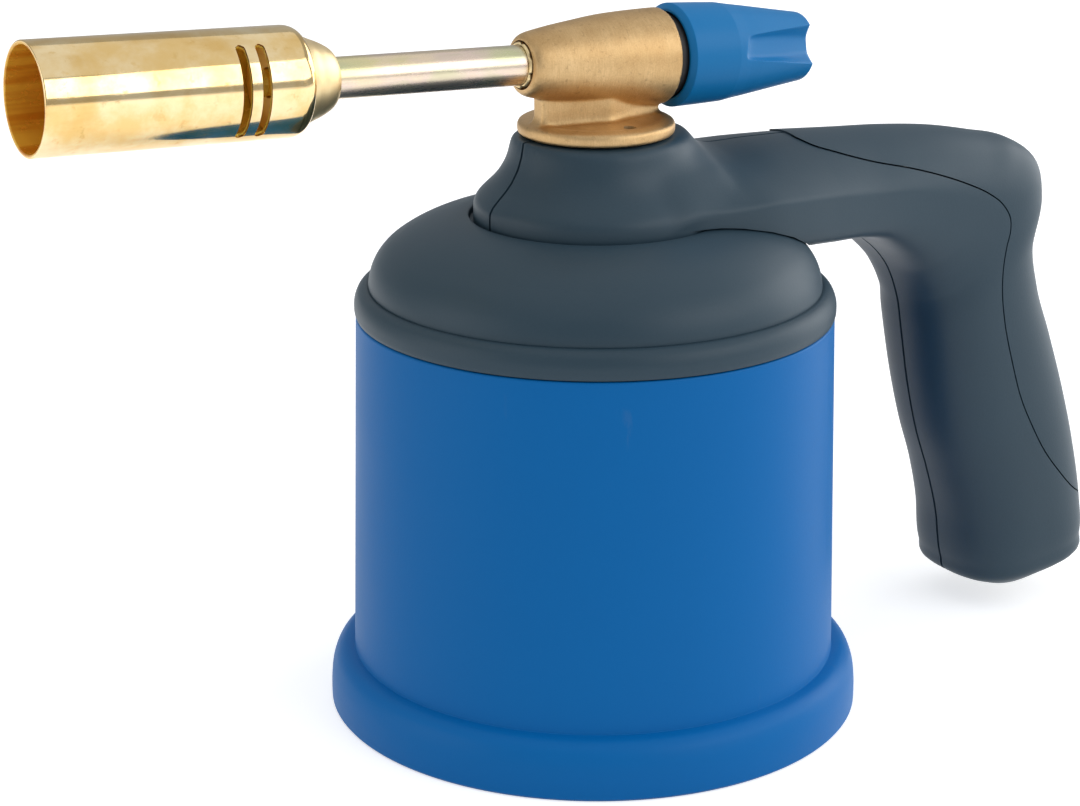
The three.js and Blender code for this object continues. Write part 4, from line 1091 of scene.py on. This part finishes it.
def burnerFittings():
    # Three closed profiles carried round the burner's line.
    b = burnerLine
    tube = closed(filleted([(b["tubeFront"], b["tubeBore"]), (b["tubeFront"], b["tube"], 0.2),
                            (b["tubeBack"], b["tube"], 0.2), (b["tubeBack"], b["tubeBore"])]))
    fitted("gas_tube_plated", turnedAlong("gas_tube_plated", tube, 96), "head",
           "yellow_zinc_steel", ["gas_tube"])
    ferrule = closed(filleted(b["ferrule"]))
    ferrule = turnedAlong("tube_ferrule_crimped", ferrule, roundSides, crimped)
    fitted("tube_ferrule_crimped", ferrule, "head", "cast_brass", ["tube_ferrule"], "turned_brass")
    # The gland is coloured black so that the gap between barrel and knob shows dark: painted shade of
    # that gap.
    gland = closed(filleted(b["gland"]))
    fitted("gland_nut_turned", turnedAlong("gland_nut_turned", gland, 96), "head",
           "black_plastic", ["gland_nut"])


burnerFittings()
print("burner fittings made")


# Burner head and flame tube

burner = {
    "nose": [(-66.6, 8.72), (-65.6, 8.4), (-64.3, 7.85), (-62.8, 7.3), (-61.3, 6.6), (-60.3, 6.0),
             (-59.6, 5.3), (-59.3, 4.7)],
    "noseBore": 4.3, "plugFront": -72.3, "plugBack": -69.3, "plug": 9.4, "jetBore": 2.9,
    "jetBack": -67.8, "mouth": -120, "radius": 10.6, "wall": 0.8, "rear": -66.6,
    "roll": [(-69.6, 10.6), (-68.6, 10.5), (-67.7, 10.2), (-67.05, 9.7), (-66.7, 9.2), (-66.6, 8.95)],
    "rollInside": [(-67.4, 8.95), (-68.4, 9.75), (-69.6, 9.8)], "headRear": (-66.8, 8.5),
    "headChamfer": 1.3, "slotPlaces": (-77.3, -81.2), "slotWidth": 1.9, "slotHalfTurn": 54,
    "slotBeyond": (0.8, 1), "slotSides": 40, "stabiliser": -89, "stabiliserThick": 1.6,
    "stabiliserPlay": 0.3, "hole": 1.9, "holeCircle": 5.8, "holes": 6,
}


def slotCutter(place, side):
    # A round-ended slot: half its width falls off as a circle's height near both ends.
    b = burner
    count = b["slotSides"]
    turn = np.linspace(-1, 1, count) * b["slotHalfTurn"] * degree
    fromEnd = (b["slotHalfTurn"] * degree - np.abs(turn)) * b["radius"]
    half = b["slotWidth"] / 2
    width = half * np.sqrt(np.clip(1 - np.clip(1 - fromEnd / half, 0, 1) ** 2, 0.02, 1))
    angle = np.concatenate([turn, turn[::-1]])
    along = place + np.concatenate([width, -width[::-1]])
    rings = []
    under, over = b["slotBeyond"]
    for radius in (b["radius"] - b["wall"] - under, b["radius"] + over):
        rings.append(np.stack([along, side * radius * np.cos(angle), radius * np.sin(angle)], axis=-1))
    ring = 2 * count
    faces = [(k, (k + 1) % ring, ring + (k + 1) % ring, ring + k) for k in range(ring)]
    faces += [(k, k + 1, ring - 2 - k, ring - 1 - k) for k in range(count - 1)]
    faces += [(ring + k + 1, ring + k, 2 * ring - 1 - k, 2 * ring - 2 - k) for k in range(count - 1)]
    return closedMesh("slot", alongBurner(np.vstack(rings)), faces)


def burnerPieces():
    # Nose and plug, slotted tube, and a disc with a ring of holes, all turned on the burner's line.
    b = burner
    nose = smoothLine(b["nose"], 30)
    head = np.vstack([
        filleted([(b["plugFront"], b["jetBore"]), (b["plugFront"], b["plug"], 0.4),
                  (b["plugBack"] - b["headChamfer"], b["plug"], 0.8), (*b["headRear"], 0.2),
                  tuple(nose[0])]),
        nose[1:],
        filleted([tuple(nose[-1]), (nose[-1][0], b["noseBore"], 0.1), (b["jetBack"], b["noseBore"], 0.1),
                  (b["jetBack"], b["jetBore"], 0.1), (b["plugFront"], b["jetBore"])])[1:]])
    fitted("burner_head_turned", turnedAlong("burner_head_turned", head), "head", "cast_brass",
           ["burner_head"], "turned_brass")

    roll = smoothLine(b["roll"], 16)
    bore = b["radius"] - b["wall"]
    wall = np.vstack([
        filleted([(b["mouth"] + 3, bore), (b["mouth"], bore, 0.25), (b["mouth"], b["radius"], 0.25),
                  tuple(roll[0])]), roll[1:], b["rollInside"]])
    tube = turnedAlong("flame_tube_drawn", closed(wall))
    cutters = [slotCutter(place, side) for place in b["slotPlaces"] for side in (-1, 1)]
    fitted("flame_tube_drawn", carved(tube, *cutters), "head", "bright_brass", ["flame_tube"])

    front, back = b["stabiliser"], b["stabiliser"] + b["stabiliserThick"]
    edge = bore - b["stabiliserPlay"]
    disc = closed(filleted([(front, b["hole"]), (front, edge, 0.2), (back, edge, 0.2),
                            (back, b["hole"])]))
    plate = turnedAlong("flame_stabiliser_drilled", disc, 96)
    holes = []
    for k in range(b["holes"]):
        turn = 2 * math.pi * k / b["holes"]
        aside = np.array([0, math.cos(turn), 0]) + axisUp * math.sin(turn)
        hole = turnedAlong("hole", rodAlong(b["hole"], front - 1, back + 1), 32)
        holes.append(moved(hole, aside * b["holeCircle"]))
    fitted("flame_stabiliser_drilled", carved(plate, *holes), "head", "steel", ["flame_stabiliser"])


burnerPieces()
print("burner made")


# Nodes whose CAD shape stays

keptNodes = {
    "gas_cartridge": "tinplate", "lid_threaded_bush": "cast_brass", "cartridge_seal": "black_rubber",
    "piercing_stem": "cast_brass", "piercing_needle": "steel", "gas_filter": "tinplate",
    "collar_clamp_nut": "steel", "valve_seat": "bright_brass", "valve_spindle": "steel",
    "spindle_o_ring": "black_rubber", "knob_screw": "steel", "gas_jet": "bright_brass",
}
for node, finishName in keptNodes.items():
    mesh = frame["nodes"][node].data
    mesh.materials.clear()
    mesh.materials.append(finishes[finishName])
print("kept nodes finished")


# Studio: pale floor, soft lamps, camera

studio = {
    "floorSize": 6.0, "floorColor": (0.8, 0.8, 0.8), "floorDim": 0.985, "floorRough": 0.85,
    "floorGlow": 0.58, "cloudSize": 400, "worldColor": (0.94, 0.97, 1), "worldStrength": 0.46,
    "lamps": [
        # name, place, target, width, height, power in watts
        ("right front box", (0.85, -1.4, 1.08), (0, 0, 0.9), 1.7, 1.3, 13.8),
        ("overhead box", (0, 0, 1.75), (0, 0, 0.08), 2.8, 2.8, 9),
        ("right box", (1.5, 0.05, 0.55), (0, 0, 0.35), 1.3, 1.0, 11),
        ("left box", (-1.45, 0.35, 0.45), (0, 0, 0.3), 1.1, 0.8, 3.8),
    ],
    "cameraPlace": (-0.2882, -0.4578, 0.2426), "cameraWay": (0.48905, 0.81393, -0.31362),
    "lens": 91.49, "sensor": 36,
}


def aimed(thing, place, way):
    thing.location = place
    thing.rotation_mode = "QUATERNION"
    thing.rotation_quaternion = Vector(way).to_track_quat("-Z", "Y")
    bpy.context.scene.collection.objects.link(thing)


def studioSetup():
    t = studio
    half = t["floorSize"] / 2
    mesh = bpy.data.meshes.new("floor")
    mesh.from_pydata([(-half, -half, 0), (half, -half, 0), (half, half, 0), (-half, half, 0)], [],
                     [(0, 1, 2, 3)])
    floorFinish = Finish("pale floor")
    cloud = floorFinish.noise(t["cloudSize"])
    dim = tuple(c * t["floorDim"] for c in t["floorColor"])
    floorFinish.looks(Base_Color=floorFinish.mixed(cloud, dim, t["floorColor"]),
                      Roughness=t["floorRough"])
    # The floor's own light is for the eye and for reflections, on top of its shadowed colour.
    seen = floorFinish.add("ShaderNodeLightPath", out="Is Camera Ray")
    mirrored = floorFinish.add("ShaderNodeLightPath", out="Is Glossy Ray")
    through = floorFinish.add("ShaderNodeLightPath", out="Is Transmission Ray")
    shown = (seen + mirrored + through).held(0, 1)
    floorFinish.looks(Emission_Color=floorFinish.mixed(shown, (0, 0, 0), (1, 1, 1)),
                      Emission_Strength=t["floorGlow"])
    mesh.materials.append(floorFinish.material)
    floor = linked("floor", mesh)

    world = bpy.data.worlds.new("studio")
    bpy.context.scene.world = world
    world.use_nodes = True
    backdrop = world.node_tree.nodes["Background"]
    backdrop.inputs["Color"].default_value = (*t["worldColor"], 1)
    backdrop.inputs["Strength"].default_value = t["worldStrength"]

    for name, place, target, width, height, power in t["lamps"]:
        light = bpy.data.lights.new(name, "AREA")
        light.shape = "RECTANGLE"
        light.size, light.size_y = width, height
        light.energy = power
        aimed(bpy.data.objects.new(name, light), place, Vector(target) - Vector(place))

    camera = bpy.data.cameras.new("camera")
    camera.lens = t["lens"]
    camera.sensor_width = t["sensor"]
    camera.clip_start = 0.01
    eye = bpy.data.objects.new("camera", camera)
    aimed(eye, t["cameraPlace"], t["cameraWay"])
    bpy.context.scene.camera = eye
    bpy.context.scene.view_settings.view_transform = "Standard"


studioSetup()
print("studio made")
